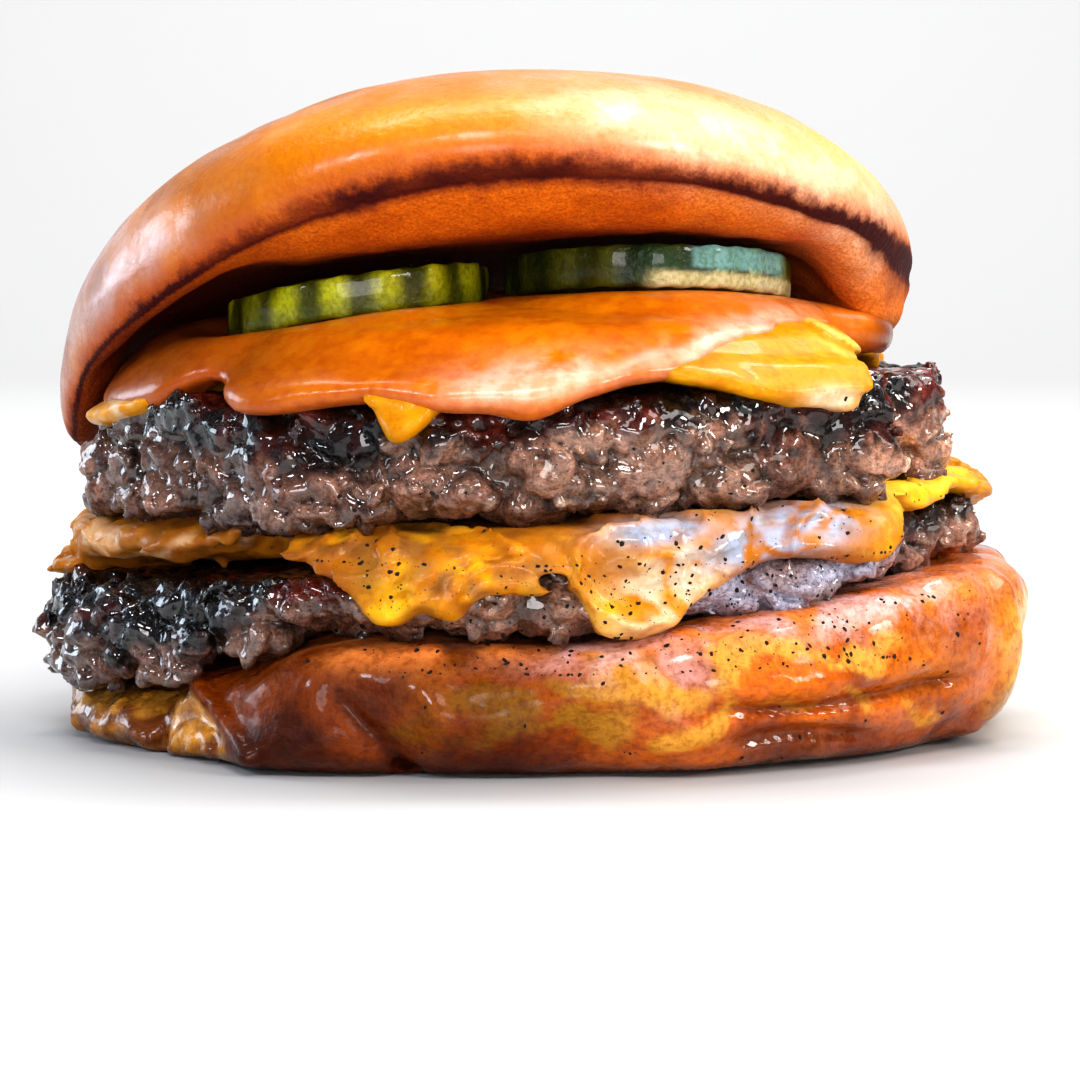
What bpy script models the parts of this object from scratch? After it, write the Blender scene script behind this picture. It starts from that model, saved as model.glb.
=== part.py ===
"""Double cheeseburger, modelled as nine separate pieces that lie on each other.

Frame: metres in the scene, millimetres in the numbers below. +Z up, -Y is the front (the
open mouth of the bun), +X is the right-hand side. The origin is on the flat underside of
the bottom bun, under the middle of the burger.

Every round layer starts as a turned blank (a profile with a Screw modifier) whose points
hold (share of the radius, angle, share of the height). The blank is then pressed to its
true form by the height and outline functions below, so that neighbouring layers share one
interface and keep a small gap.
"""

import math

import bpy
import numpy as np

# ------------------------------------------------------------------ driving sizes, mm
MM = 0.001
STEPS = 50  # columns round each layer
GAP = 0.4  # clearance kept between neighbouring pieces

HEEL_CENTRE, HEEL_RX, HEEL_RY = (0.6, 0.0), 56.6, 51.5  # bottom bun
LOWER_CENTRE, LOWER_RX, LOWER_RY = (-2.0, 0.3), 52.4, 49.6  # lower patty
UPPER_CENTRE, UPPER_RX, UPPER_RY = (-2.6, -0.6), 49.6, 48.6  # upper patty
CROWN_CENTRE, CROWN_RX, CROWN_RY = (-6.4, 2.0), 50.4, 48.6  # top bun

LOWER_CHEESE_T = 2.6  # free thickness of the melted slices
UPPER_CHEESE_T = 2.2
SAUCE_EDGE_T = 2.6  # thickness of the sauce where it rolls over the rim

# pickle slices: centre x, y, height of the underside at the centre, radius, thickness,
# rise to the right, rise to the back, number of crinkles round the skin
PICKLES = {
    "pickle_left": (-20.6, -18.6, 47.4, 15.0, 4.9, 0.150, -0.10, 15),
    "pickle_right": (12.2, -15.2, 50.1, 16.6, 5.0, 0.004, -0.12, 17),
}


# ------------------------------------------------------------------ small maths
def lump(angle, at_deg, width_deg, size):
    """A rounded bump (or, with size under 0, a dent) round the compass."""
    d = (np.degrees(angle) - at_deg + 180.0) % 360.0 - 180.0
    return size * np.exp(-((d / width_deg) ** 2))


def smooth(a, b, x):
    t = np.clip((x - a) / (b - a), 0.0, 1.0)
    return t * t * (3 - 2 * t)


def oval(angle, rx, ry, power=2.0):
    c, s = np.abs(np.cos(angle)), np.abs(np.sin(angle))
    return 1.0 / ((c / rx) ** power + (s / ry) ** power) ** (1.0 / power)


# ------------------------------------------------------------------ the interfaces, mm
def heel_top(x, y):
    """Where the lower patty lies on the bottom bun: squashed at the left, full at the right."""
    z = 7.0 + 8.3 * smooth(-45.0, -21.0, x) + 5.2 * smooth(-5.0, 60.0, x)
    return z - 0.9 * np.exp(-(((x - 2.0) / 9.0) ** 2)) - 0.0002 * y * y


def lower_top(x, y):
    return 24.4 + 0.088 * x - 0.00042 * x * x - 0.0003 * y * y


def upper_bottom(x, y):
    return 27.7 + 0.046 * x + 0.00026 * x * x - 0.0002 * y * y


def upper_top(x, y):
    return 42.0 + 0.022 * x - 0.00038 * x * x - 0.00035 * y * y


def crown_under(x, y):
    """The cut face of the top bun: raised in front, arched over the filling, drooping to
    the left and right, and never lower than the filling."""
    dx, dy = x - CROWN_CENTRE[0], y - CROWN_CENTRE[1]
    u, angle = dx / 50.0, np.arctan2(dy, dx)
    share = np.hypot(dx, dy) / crown_radius(angle)
    inner = 56.0 + 0.10 * x - 0.20 * y + 0.14 * smooth(-42.0, -22.0, x) * np.clip(y, None, 0)
    inner = inner - 10.5 * (0.45 * u**2 + 0.55 * u**4)
    inner = inner - 10.0 * smooth(22.0, 44.0, x)
    ring = crown_ring(angle)
    z = ring + (inner - ring) * smooth(0.965, 0.82 + 0.04 * smooth(-38.0, -20.0, x) + 0.06 * smooth(10.0, 44.0, x), share)
    ux, uy = x - UPPER_CENTRE[0], y - UPPER_CENTRE[1]
    inside = upper_radius(np.arctan2(uy, ux)) + 0.8 - np.hypot(ux, uy)
    z = np.where(inside > 0, np.maximum(z, upper_top(x, y) + UPPER_CHEESE_T + 3.0), z)
    for name, (cx, cy, _, radius, thick, *_rest) in PICKLES.items():
        near = 1 - smooth(radius + 3.0, radius + 7.0, np.hypot(x - cx, y - cy))
        z = z + near * np.maximum(pickle_plane(name, x, y) + thick + 1.0 - z, 0)
    return z


def pickle_plane(name, x, y):
    cx, cy, z, _, _, px, py, _ = PICKLES[name]
    return z + px * (x - cx) + py * (y - cy)


def sauce_top(x, y):
    """A slumped mound, pressed flat under the pickles and kept off the top bun."""
    r2 = ((x + 2.0) / 50.0) ** 2 + ((y + 2.0) / 50.0) ** 2
    z = upper_top(x, y) + UPPER_CHEESE_T + 7.2 * np.clip(1 - r2, 0, 1) ** 0.62 + 0.9
    z = z - 0.055 * np.clip(y + 8.0, 0, None)
    for name, (cx, cy, _, radius, *_rest) in PICKLES.items():
        away = np.hypot(x - cx, y - cy)
        pressed = 1 - smooth(radius + 4.0, radius + 10.0, away)
        low = pickle_plane(name, x, y) - 3.4 * GAP
        z = z + pressed * (low - z)
    lid = crown_under(x, y) - 1.5
    return np.minimum(z, lid)


# ------------------------------------------------------------------ the outlines, mm
def heel_radius(angle):
    r = oval(angle, HEEL_RX, HEEL_RY, 2.15)
    r = r + lump(angle, -133, 9, -2.8) + lump(angle, -122, 8, 1.6)  # fold at front left
    r = r + lump(angle, 178, 34, 0.6)
    r = r + lump(angle, -52, 9, -1.2) + lump(angle, -24, 8, 1.0)
    r = r + lump(angle, -150, 11, -2.0) + lump(angle, 62, 12, -1.6)
    return r + lump(angle, 118, 9, 1.3) + lump(angle, 160, 12, -1.2)


def lower_radius(angle):
    r = oval(angle, LOWER_RX, LOWER_RY, 2.1) + lump(angle, 180, 30, 2.4)
    r = r + lump(angle, -30, 8, -3.4) + lump(angle, -62, 9, -1.6)
    r = r + lump(angle, -140, 9, -1.4) + lump(angle, -158, 8, 1.6)
    r = r + lump(angle, 40, 9, -2.4) + lump(angle, 76, 8, 1.8)
    return r + lump(angle, 112, 9, -2.2) + lump(angle, 146, 10, 1.4)


def upper_radius(angle):
    r = oval(angle, UPPER_RX, UPPER_RY, 2.1)
    r = r + lump(angle, 158, 26, -6.2)  # room for the drooping top bun
    r = r + lump(angle, -27, 7, -4.6) + lump(angle, -44, 8, 2.4)  # the corner at the right
    r = r + lump(angle, -132, 6, -2.6) + lump(angle, -66, 8, -1.2)
    r = r + lump(angle, 22, 9, 1.2) + lump(angle, 54, 9, -2.6)
    return r + lump(angle, 98, 10, 1.6) + lump(angle, 133, 8, -2.2)


def crown_radius(angle):
    r = oval(angle, CROWN_RX, CROWN_RY, 2.0)
    return r + lump(angle, -35, 22, 0.8) + lump(angle, 140, 24, 0.7)


def ragged(angle, share, seed):
    """Crumbly side of a patty: soft bumps round the rim and up its height, mm."""
    a = 0.7 * np.sin(8 * angle + 1.7 * seed + 1.6 * np.sin(3 * angle + seed))
    b = 0.5 * np.sin(13 * angle + 4.0 * share + 0.9 * seed)
    return (a + b) * np.sin(np.pi * np.clip(share, 0, 1))


# ------------------------------------------------------------------ turned blanks
def closer_in_front(angle):
    """Draws the columns of a blank together at the open front, where the drips are."""
    return angle - 0.30 * np.sin(angle + math.pi / 2)


def corner(x, z, rx, rz, count, top):
    """Points of a quarter round between a level and a side, going down."""
    out = []
    for i in range(count + 1):
        a = math.pi / 2 * i / count
        if top:
            out.append((x - rx + rx * math.sin(a), z - rz + rz * math.cos(a)))
        else:
            out.append((x - rx + rx * math.cos(a), z + rz - rz * math.sin(a)))
    return out


def turned(name, profile):
    """A blank turned round Z from (share of radius, share of height) points, top first."""
    points = [(x, 0.0, z) for x, z in profile]
    mesh = bpy.data.meshes.new(name + "_profile")
    mesh.from_pydata(points, [(i, i + 1) for i in range(len(points) - 1)], [])
    rough = bpy.data.objects.new(name + "_profile", mesh)
    bpy.context.scene.collection.objects.link(rough)
    screw = rough.modifiers.new("Turn", "SCREW")
    screw.axis, screw.angle = "Z", 2 * math.pi
    screw.steps = screw.render_steps = STEPS
    screw.use_merge_vertices, screw.merge_threshold = True, 1e-5
    graph = bpy.context.evaluated_depsgraph_get()
    turned_mesh = bpy.data.meshes.new_from_object(rough.evaluated_get(graph))
    bpy.data.objects.remove(rough)
    turned_mesh.name = name
    return bpy.data.objects.new(name, turned_mesh)


def press(blank, form, columns=closer_in_front):
    """Moves each point of a blank by form(share, angle, height) -> x, y, z in mm."""
    mesh = blank.data
    co = np.empty(len(mesh.vertices) * 3)
    mesh.vertices.foreach_get("co", co)
    co = co.reshape(-1, 3)
    share = np.hypot(co[:, 0], co[:, 1])
    angle = columns(np.arctan2(co[:, 1], co[:, 0]))
    x, y, z = form(share, angle, co[:, 2])
    mesh.vertices.foreach_set("co", (np.stack([x, y, z], 1) * MM).ravel())
    mesh.update()
    return blank


def finish(obj, collection, colour, roughness):
    collection.objects.link(obj)
    obj.data.shade_smooth()
    obj.data.set_sharp_from_angle(angle=math.radians(50))
    material = bpy.data.materials.new(obj.name)
    material.use_nodes = True
    shader = material.node_tree.nodes["Principled BSDF"]
    shader.inputs["Base Color"].default_value = (*colour, 1)
    shader.inputs["Roughness"].default_value = roughness
    shader.inputs["Metallic"].default_value = 0.0
    obj.data.materials.append(material)
    return obj


# ------------------------------------------------------------------ bottom bun
def heel_form(share, angle, height):
    """Squashed bun: full round side, flat foot, one long crease and hanging folds."""
    side = np.sin(np.pi * np.clip(height, 0, 1)) ** 0.8 * smooth(0.7, 1.0, share)
    crease_at = 0.46 + 0.10 * np.sin(2 * angle + 0.6)
    crease = -2.2 * np.exp(-(((height - crease_at) / 0.11) ** 2)) * smooth(0.9, 1.0, share)
    folds = side * (0.9 * np.sin(9 * angle + 2.0 * np.sin(2 * angle)) + 0.6 * np.sin(15 * angle + 6 * height))
    foot = 6.0 * smooth(0.45, 0.0, height) * share  # squashed flat at the front left
    foot = foot * lump(angle, -140, 36, 1.0)
    radius = heel_radius(angle) * share + crease + folds + foot
    x = HEEL_CENTRE[0] + radius * np.cos(angle)
    y = HEEL_CENTRE[1] + radius * np.sin(angle)
    under = (share < 0.88) & (height > 0.9)  # the same rings as the patty's underside
    x = np.where(under, LOWER_CENTRE[0] + lower_radius(angle) * share * np.cos(angle), x)
    y = np.where(under, LOWER_CENTRE[1] + lower_radius(angle) * share * np.sin(angle), y)
    rim = smooth(0.86, 1.0, share) * 1.6 * smooth(-20, 45, x)  # curls up at the right
    top = heel_top(x, y) - GAP + rim * smooth(-60, 60, x)
    # the squashed left side ends low, the right side full
    return x, y, top * height


def make_heel(collection):
    profile = [(0, 1), (0.31, 1), (0.62, 1), (0.85, 1)]
    profile += corner(1.0, 1.0, 0.085, 0.40, 4, True)
    profile += corner(1.0, 0.0, 0.16, 0.50, 3, False)[1:]
    profile += [(0.5, 0), (0, 0)]
    heel = press(turned("bun_heel", profile), heel_form)
    return finish(heel, collection, (0.72, 0.30, 0.05), 0.45)


# ------------------------------------------------------------------ patties
PATTIES = {
    "patty_lower": (LOWER_CENTRE, lower_radius, lower_top, heel_top, 1.3),
    "patty_upper": (UPPER_CENTRE, upper_radius, upper_top, upper_bottom, 3.1),
}


def patty_surface(name, share, angle, height):
    """Radius from the patty's centre, and x, y, z, for points of its blank."""
    centre, outline, top, bottom, seed = PATTIES[name]
    radius = outline(angle) * share + ragged(angle, height, seed) * smooth(0.9, 1.0, share)
    if name == "patty_upper":  # it bulges low down at its left end
        radius = radius + lump(angle, -166, 30, 2.2) * share * (1 - height)
    x = centre[0] + radius * np.cos(angle)
    y = centre[1] + radius * np.sin(angle)
    low = bottom(x, y) + (0.3 if name == "patty_lower" else GAP)
    high = top(x, y)
    return radius, x, y, low + (high - low) * height


def patty_profile():
    profile = [(0, 1), (0.62, 1)]
    profile += corner(1.0, 1.0, 0.055, 0.24, 3, True)
    profile += [(1.0, 0.5)]
    profile += corner(1.0, 0.0, 0.055, 0.22, 3, False)
    return profile + [(0.85, 0), (0.62, 0), (0.31, 0), (0, 0)]


def make_patty(name, collection):
    patty = press(turned(name, patty_profile()), lambda s, a, h: patty_surface(name, s, a, h)[1:])
    return finish(patty, collection, (0.10, 0.045, 0.03), 0.4)


# ------------------------------------------------------------------ melted layers
class Side:
    """The line that runs over a patty's top, round its rim and down its side at each
    angle, with d = 0 on the rim, d under 0 towards the middle and over 0 downwards."""

    def __init__(self, name, angles):
        s, h = np.array(patty_profile()).T
        dense = np.linspace(0, len(s) - 1, 161)
        s, h = np.interp(dense, range(len(s)), s), np.interp(dense, range(len(h)), h)
        self.angles = angles
        self.centre = PATTIES[name][0]
        self.r, self.z, self.d = [], [], []
        for a in angles:
            full = np.full(len(s), a)
            r, _, _, z = patty_surface(name, s, full, h)
            run = np.concatenate([[0], np.cumsum(np.hypot(np.diff(r), np.diff(z)))])
            rim = run[np.argmin(np.abs(s - 0.984) + np.abs(h - 0.93))]
            self.r.append(r)
            self.z.append(z)
            self.d.append(run - rim)

    def at(self, index, d, out):
        """r, z of the point out mm off the patty's skin at distance d."""
        dd, rr, zz = self.d[index], self.r[index], self.z[index]
        r, z = np.interp(d, dd, rr), np.interp(d, dd, zz)
        r2, z2 = np.interp(d + 0.8, dd, rr), np.interp(d + 0.8, dd, zz)
        r1, z1 = np.interp(d - 0.8, dd, rr), np.interp(d - 0.8, dd, zz)
        tr, tz = r2 - r1, z2 - z1
        size = max(math.hypot(tr, tz), 1e-6)
        if r < 1e-4:
            return 0.0, z + out
        return r - tz / size * out, z + tr / size * out

    def to_middle(self, index):
        return -self.d[index][0]


def drips(table, angle):
    """How far over the rim a melted edge reaches: a base and a list of drips."""
    base, runs = table
    reach = np.full_like(np.asarray(angle, float), base)
    for at, width, size in runs:
        reach = reach + lump(angle, at, width, size)
    return reach


# (angle, half width, extra reach) of each drip; -90 is the front
LOWER_CHEESE = (
    1.8,
    [(-108, 6, 3.8), (-77, 7, 5.8), (-94, 6, -0.2), (-60, 7, -0.8), (-40, 7, 3.0), (-16, 9, -2.0), (-130, 8, -4.4)]
    + [(-152, 10, -3.4), (178, 24, -3.6), (28, 8, -3.4), (52, 8, 4.6), (80, 8, -2.4), (106, 8, 4.8), (138, 9, -2.6)],
)
UPPER_CHEESE = (
    -0.4,
    [(-104, 5, 5.8), (-44, 10, 4.6), (-57, 7, 2.4), (-28, 6, 1.0), (-6, 13, -3.4), (-86, 10, -2.0), (-160, 10, 0.6)]
    + [(165, 24, -4.0), (30, 9, 2.8), (70, 10, 3.6), (118, 10, 3.4), (96, 8, -1.6)],
)
SAUCE = (
    1.0,
    [(-90, 16, 1.8), (-122, 9, 2.2), (-104, 6, -0.8), (-142, 8, -2.6), (-164, 9, -1.6), (-62, 9, -2.4), (-44, 13, -8.0), (-20, 12, -9.0)]
    + [(172, 26, -7.0), (8, 16, -10.0), (40, 14, -5.0), (86, 14, 0.0), (130, 16, -5.5)],
)


def sheet_profile(rings):
    """Section of a melted sheet, with a round lip; rings are shares of its reach."""
    lip = [(0.985, 0.90), (1.0, 0.5), (0.985, 0.08)]
    return [(s, 1) for s in (0, *rings)] + lip + [(s, 0) for s in (*rings[::-1], 0)]


def make_melt(name, patty, reach, rings, lift, thickness, limit, collection, colour, roughness):
    """A melted sheet over a patty: lift(d, angle, x, y) clears what lies under it, and
    thickness(d, angle, x, y) is its own. limit(x, y) is a ceiling for its top."""
    blank = turned(name, sheet_profile(rings))
    turn = np.linspace(-math.pi, math.pi, STEPS, endpoint=False)
    columns = closer_in_front(turn)
    side = Side(patty, columns)
    cx, cy = side.centre

    def form(share, angle, height):
        out = np.empty((3, len(share)))
        for i in range(len(share)):
            a = angle[i]
            off = (columns - a + math.pi) % (2 * math.pi) - math.pi
            col = int(np.argmin(np.abs(off)))
            end = float(drips(reach, np.array([columns[col]]))[0])
            middle = -side.to_middle(col)
            d = float(np.interp(share[i], [0, 0.6, 0.8, 1], [middle, -12.0, min(-3.0, end - 3.0), end]))
            r0, z0 = side.at(col, d, 0.0)
            x0, y0 = cx + r0 * math.cos(a), cy + r0 * math.sin(a)
            low = lift(d, columns[col], x0, y0) + 0.75 * math.exp(-((d / 5.0) ** 2))
            full = thickness(d, columns[col], x0, y0)
            r, z = side.at(col, d, low + full * height[i])
            x, y = cx + r * math.cos(a), cy + r * math.sin(a)
            if d < 3.0:
                z = min(z, max(limit(x, y), side.at(col, d, low + 0.25 * height[i])[1]))
            out[:, i] = x, y, z
        return out

    return finish(press(blank, form), collection, colour, roughness)


def cheese_lower_thickness(d, angle, x, y):
    """Squeezed between the patties, it is as thick as the space between them."""
    between = float(upper_bottom(x, y) + GAP - lower_top(x, y)) - 2 * GAP
    inside = 1 - float(smooth(-4.5, 0.5, np.array(d)))
    return inside * between + (1 - inside) * min(LOWER_CHEESE_T, between)


def make_cheese_lower(collection):
    return make_melt(
        "cheese_lower", "patty_lower", LOWER_CHEESE, (0.6, 0.8, 0.855, 0.91, 0.955),
        lambda d, a, x, y: GAP,
        cheese_lower_thickness,
        lambda x, y: float(upper_bottom(x, y)) - 0.0,
        collection, (0.85, 0.46, 0.03), 0.3,
    )


def make_cheese_upper(collection):
    return make_melt(
        "cheese_upper", "patty_upper", UPPER_CHEESE, (0.6, 0.8, 0.87, 0.94),
        lambda d, a, x, y: GAP,
        lambda d, a, x, y: UPPER_CHEESE_T,
        lambda x, y: float(crown_under(x, y)) - 0.5,
        collection, (0.92, 0.55, 0.02), 0.25,
    )


def sauce_lift(d, angle, x, y):
    """Clear of the patty, and of the slice where the slice lies under the sauce."""
    end = float(drips(UPPER_CHEESE, np.array([angle]))[0])
    cheese = 1 - float(smooth(end + 0.4, end + 2.8, np.array(d)))
    return GAP + cheese * (UPPER_CHEESE_T + GAP + 0.1 + 0.35 * math.exp(-((d / 6.0) ** 2)))


def sauce_thickness(d, angle, x, y):
    top = float(sauce_top(x, y)) - float(upper_top(x, y)) - UPPER_CHEESE_T - 2 * GAP
    end = float(drips(SAUCE, np.array([angle]))[0])
    lip = SAUCE_EDGE_T + 0.30 * max(end - d, 0.0)  # it thins towards its edge
    return min(max(top, 0.6), lip)


def make_sauce(collection):
    return make_melt(
        "sauce", "patty_upper", SAUCE, (0.15, 0.3, 0.45, 0.6, 0.7, 0.8, 0.87, 0.94), sauce_lift, sauce_thickness,
        lambda x, y: float(crown_under(x, y)) - 0.5,
        collection, (0.80, 0.24, 0.02), 0.2,
    )


# ------------------------------------------------------------------ pickles
def make_pickle(name, collection):
    cx, cy, z0, radius, thick, px, py, ribs = PICKLES[name]
    profile = [(0, 1), (0.95, 1), (1.0, 0.88), (1.0, 0.12), (0.95, 0), (0, 0)]

    def form(share, angle, height):
        r = share * radius * (1 + 0.02 * np.cos(2 * angle + ribs))
        r = r + 0.35 * np.cos(ribs * angle) * smooth(0.9, 1.0, share)
        x, y = cx + r * np.cos(angle), cy + r * np.sin(angle)
        return x, y, pickle_plane(name, x, y) + thick * height

    pickle = press(turned(name, profile), form, lambda angle: angle)
    return finish(pickle, collection, (0.20, 0.24, 0.02), 0.2)


# ------------------------------------------------------------------ top bun
# Height of the browned ring round the top bun every 15 degrees from the left (-180) by the
# front (-90), the right (0) and the back (90), mm: high in front, low at the back left.
RING = (30.6, 37.4, 44.2, 50.2, 56.6, 61.2, 63.6, 64.0, 62.6, 60.2, 57.4, 54.6)
RING += (52.2, 49.6, 47.2, 46.8, 46.6, 46.4, 46.0, 44.8, 42.0, 36.8, 31.4, 28.6)
# How far the widest line of the crust lies over the ring: left, front, right, back, mm.
RIM_OVER_RING = (6.4, 3.8, 0.8, 6.0)


def round_table(values, angle):
    """Smooth closed curve through evenly spaced values (a cubic through four at a time)."""
    n = len(values)
    v = np.array(values)
    t = (np.asarray(angle, float) + math.pi) / (2 * math.pi) * n
    i = np.floor(t).astype(int)
    f = t - i
    a, b, c, d = v[(i - 1) % n], v[i % n], v[(i + 1) % n], v[(i + 2) % n]
    return b + 0.5 * f * (c - a + f * (2 * a - 5 * b + 4 * c - d + f * (3 * (b - c) + d - a)))


def crown_ring(angle):
    """Height of the browned edge between the crust and the cut face."""
    return round_table(RING, angle)


def crown_rim(angle):
    """Height of the widest line of the top bun."""
    return crown_ring(angle) + round_table(RIM_OVER_RING, angle)


def crown_form(share, angle, height):
    """height runs from 1 at the top over 0.5 on the widest line to 0 on the cut face."""
    radius = crown_radius(angle) * share
    right = smooth(5.0, 42.0, radius * np.cos(angle)) * smooth(0.7, 0.9, share)
    radius = radius * (1 + 0.062 * right * (height < 0.2))  # it bulges at the right
    x = CROWN_CENTRE[0] + radius * np.cos(angle)
    y = CROWN_CENTRE[1] + radius * np.sin(angle)
    rim, ring = crown_rim(angle), crown_ring(angle)
    apex = 74.9 + 0.06 * x - 0.12 * y
    dome = np.sqrt(np.clip(1 - share**2.05, 0, 1))
    top = rim + (apex - rim) * dome
    face = crown_under(x, y)
    z = np.where(height > 0.75, top, np.where(height < 0.2, face, ring + (rim - ring) * (height - 0.25) / 0.25))
    return x, y, z


def make_crown(collection):
    shares = [0, 0.35, 0.60, 0.78, 0.90, 0.97]
    profile = [(s, 1) for s in shares] + [(1.0, 0.5), (0.972, 0.25)]
    profile += [(s, 0) for s in (0.90, 0.84, 0.76, 0.45, 0)]
    crown = press(turned("bun_crown", profile), crown_form)
    return finish(crown, collection, (0.78, 0.38, 0.07), 0.3)


# ------------------------------------------------------------------ the burger
def main():
    for obj in list(bpy.data.objects):
        bpy.data.objects.remove(obj, do_unlink=True)
    burger = bpy.data.collections.new("double_cheeseburger")
    bpy.context.scene.collection.children.link(burger)
    make_heel(burger)
    make_patty("patty_lower", burger)
    make_cheese_lower(burger)
    make_patty("patty_upper", burger)
    make_cheese_upper(burger)
    make_sauce(burger)
    for name in PICKLES:
        make_pickle(name, burger)
    make_crown(burger)


main()
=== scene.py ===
"""Looks of the double cheeseburger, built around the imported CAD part.

Lengths in the number work are millimetres, in the part's own frame: +Z up, -Y the front, +X
the right. Each layer starts from the signed distance to its CAD solid, is roughened or
melted by noise on a grid, and is meshed again with OpenVDB. Colours that follow the form
are worked out per point and kept as attributes that the node materials read.
"""

import math

import bpy
import numpy as np
import openvdb as vdb
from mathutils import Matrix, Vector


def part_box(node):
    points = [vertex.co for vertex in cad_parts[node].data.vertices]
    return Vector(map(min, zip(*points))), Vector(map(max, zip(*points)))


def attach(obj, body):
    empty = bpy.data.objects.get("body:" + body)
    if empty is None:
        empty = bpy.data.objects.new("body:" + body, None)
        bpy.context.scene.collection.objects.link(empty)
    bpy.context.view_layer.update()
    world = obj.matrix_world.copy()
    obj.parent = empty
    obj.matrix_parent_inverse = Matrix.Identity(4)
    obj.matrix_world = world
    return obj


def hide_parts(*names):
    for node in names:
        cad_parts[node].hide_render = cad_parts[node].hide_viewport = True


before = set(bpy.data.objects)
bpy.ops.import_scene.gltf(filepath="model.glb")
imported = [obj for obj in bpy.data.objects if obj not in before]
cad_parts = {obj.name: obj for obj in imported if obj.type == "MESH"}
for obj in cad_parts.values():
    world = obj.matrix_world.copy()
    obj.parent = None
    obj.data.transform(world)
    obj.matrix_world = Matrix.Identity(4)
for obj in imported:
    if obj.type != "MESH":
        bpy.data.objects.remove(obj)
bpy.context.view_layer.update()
F = np.float32


# ====================================================================== noise
def mix_bits(i, j, k, seed):
    h = i.astype(np.uint32) * np.uint32(374761393)
    h += j.astype(np.uint32) * np.uint32(668265263)
    h += k.astype(np.uint32) * np.uint32(2246822519)
    h += np.uint32((seed * 3266489917 + 12345) & 0xFFFFFFFF)
    h ^= h >> np.uint32(15)
    h *= np.uint32(2246822519)
    h ^= h >> np.uint32(13)
    h *= np.uint32(3266489917)
    h ^= h >> np.uint32(16)
    return h


def unit(h, shift=0):
    return ((h >> np.uint32(shift)) & np.uint32(0xFFFF)).astype(F) / F(65535)


def value_noise(p, size, seed):
    """Smooth noise in -1..1 at points p (N, 3), mm; size is a number or one per axis."""
    q = (p / np.asarray(size, F)).astype(F)
    base = np.floor(q)
    f = q - base
    u = f * f * f * (f * (f * 6 - 15) + 10)
    i = base.astype(np.int64)
    out = np.zeros(len(p), F)
    for dx in (0, 1):
        wx = u[:, 0] if dx else 1 - u[:, 0]
        for dy in (0, 1):
            wy = u[:, 1] if dy else 1 - u[:, 1]
            for dz in (0, 1):
                wz = u[:, 2] if dz else 1 - u[:, 2]
                h = mix_bits(i[:, 0] + dx, i[:, 1] + dy, i[:, 2] + dz, seed)
                out += wx * wy * wz * unit(h)
    return out * 2 - 1


def fbm(p, size, octaves, seed, fade=0.5):
    out, amp, total = np.zeros(len(p), F), 1.0, 0.0
    size = np.asarray(size, F)
    for n in range(octaves):
        out += F(amp) * value_noise(p, size / 2**n, seed + 17 * n)
        total += amp
        amp *= fade
    return out / F(total)


def cells(p, size, seed, jitter=0.9):
    """Cell noise: distance to the nearest and second nearest seed, in cells, and a random
    number 0..1 of the nearest cell."""
    q = (p / F(size)).astype(F)
    base = np.floor(q).astype(np.int64)
    f1 = np.full(len(p), 9.0, F)
    f2 = np.full(len(p), 9.0, F)
    who = np.zeros(len(p), F)
    for dx in (-1, 0, 1):
        for dy in (-1, 0, 1):
            for dz in (-1, 0, 1):
                i, j, k = base[:, 0] + dx, base[:, 1] + dy, base[:, 2] + dz
                h = mix_bits(i, j, k, seed)
                g = mix_bits(i, j, k, seed + 101)
                x = i + F(0.5) + F(jitter) * (unit(h) - F(0.5)) - q[:, 0]
                y = j + F(0.5) + F(jitter) * (unit(h, 16) - F(0.5)) - q[:, 1]
                z = k + F(0.5) + F(jitter) * (unit(g) - F(0.5)) - q[:, 2]
                d = np.sqrt(x * x + y * y + z * z).astype(F)
                nearer = d < f1
                f2 = np.where(nearer, f1, np.minimum(f2, d))
                who = np.where(nearer, unit(g, 16), who)
                f1 = np.where(nearer, d, f1)
    return f1, f2, who


def smooth(a, b, x):
    t = np.clip((np.asarray(x, F) - a) / (b - a), 0.0, 1.0)
    return t * t * (3 - 2 * t)


def smooth_min(a, b, k):
    h = np.clip(0.5 + 0.5 * (b - a) / k, 0, 1)
    return b + (a - b) * h - k * h * (1 - h)


def lump(angle_deg, at, width, size):
    d = (angle_deg - at + 180.0) % 360.0 - 180.0
    return size * np.exp(-((d / width) ** 2))


# ====================================================================== fields on grids
class Box:
    """A regular grid of points, mm."""

    def __init__(self, lo, hi, step):
        self.step = step
        self.lo = np.array(lo, float)
        self.n = np.ceil((np.array(hi, float) - self.lo) / step).astype(int) + 1

    def axis(self, k):
        return (self.lo[k] + self.step * np.arange(self.n[k])).astype(F)

    def where(self, mask):
        i = np.nonzero(mask)
        return i, np.stack([self.axis(k)[i[k]] for k in range(3)], 1)


def cad_points(node):
    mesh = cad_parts[node].data
    co = np.empty(len(mesh.vertices) * 3, F)
    mesh.vertices.foreach_get("co", co)
    mesh.calc_loop_triangles()
    tri = np.empty(len(mesh.loop_triangles) * 3, np.int32)
    mesh.loop_triangles.foreach_get("vertices", tri)
    return co.reshape(-1, 3) * 1000, tri.reshape(-1, 3)


def blend_matrix(coarse, fine, blur):
    """Rows of weights that blur a coarse axis and read it at the fine axis' points."""
    at = (fine[:, None] - coarse[None, :]) / (coarse[1] - coarse[0])
    w = np.exp(-0.5 * (at / blur) ** 2)
    return (w / w.sum(1, keepdims=True)).astype(F)


def spread(values, coarse_axes, fine_axes, blur):
    """Reads a field of coarse steps on a finer grid, smoothed."""
    for k in range(3):
        m = blend_matrix(coarse_axes[k], fine_axes[k], blur)
        values = np.moveaxis(np.tensordot(m, values, axes=(1, k)), 0, k)
    return values.astype(F)


COARSE = 1.0


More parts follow.
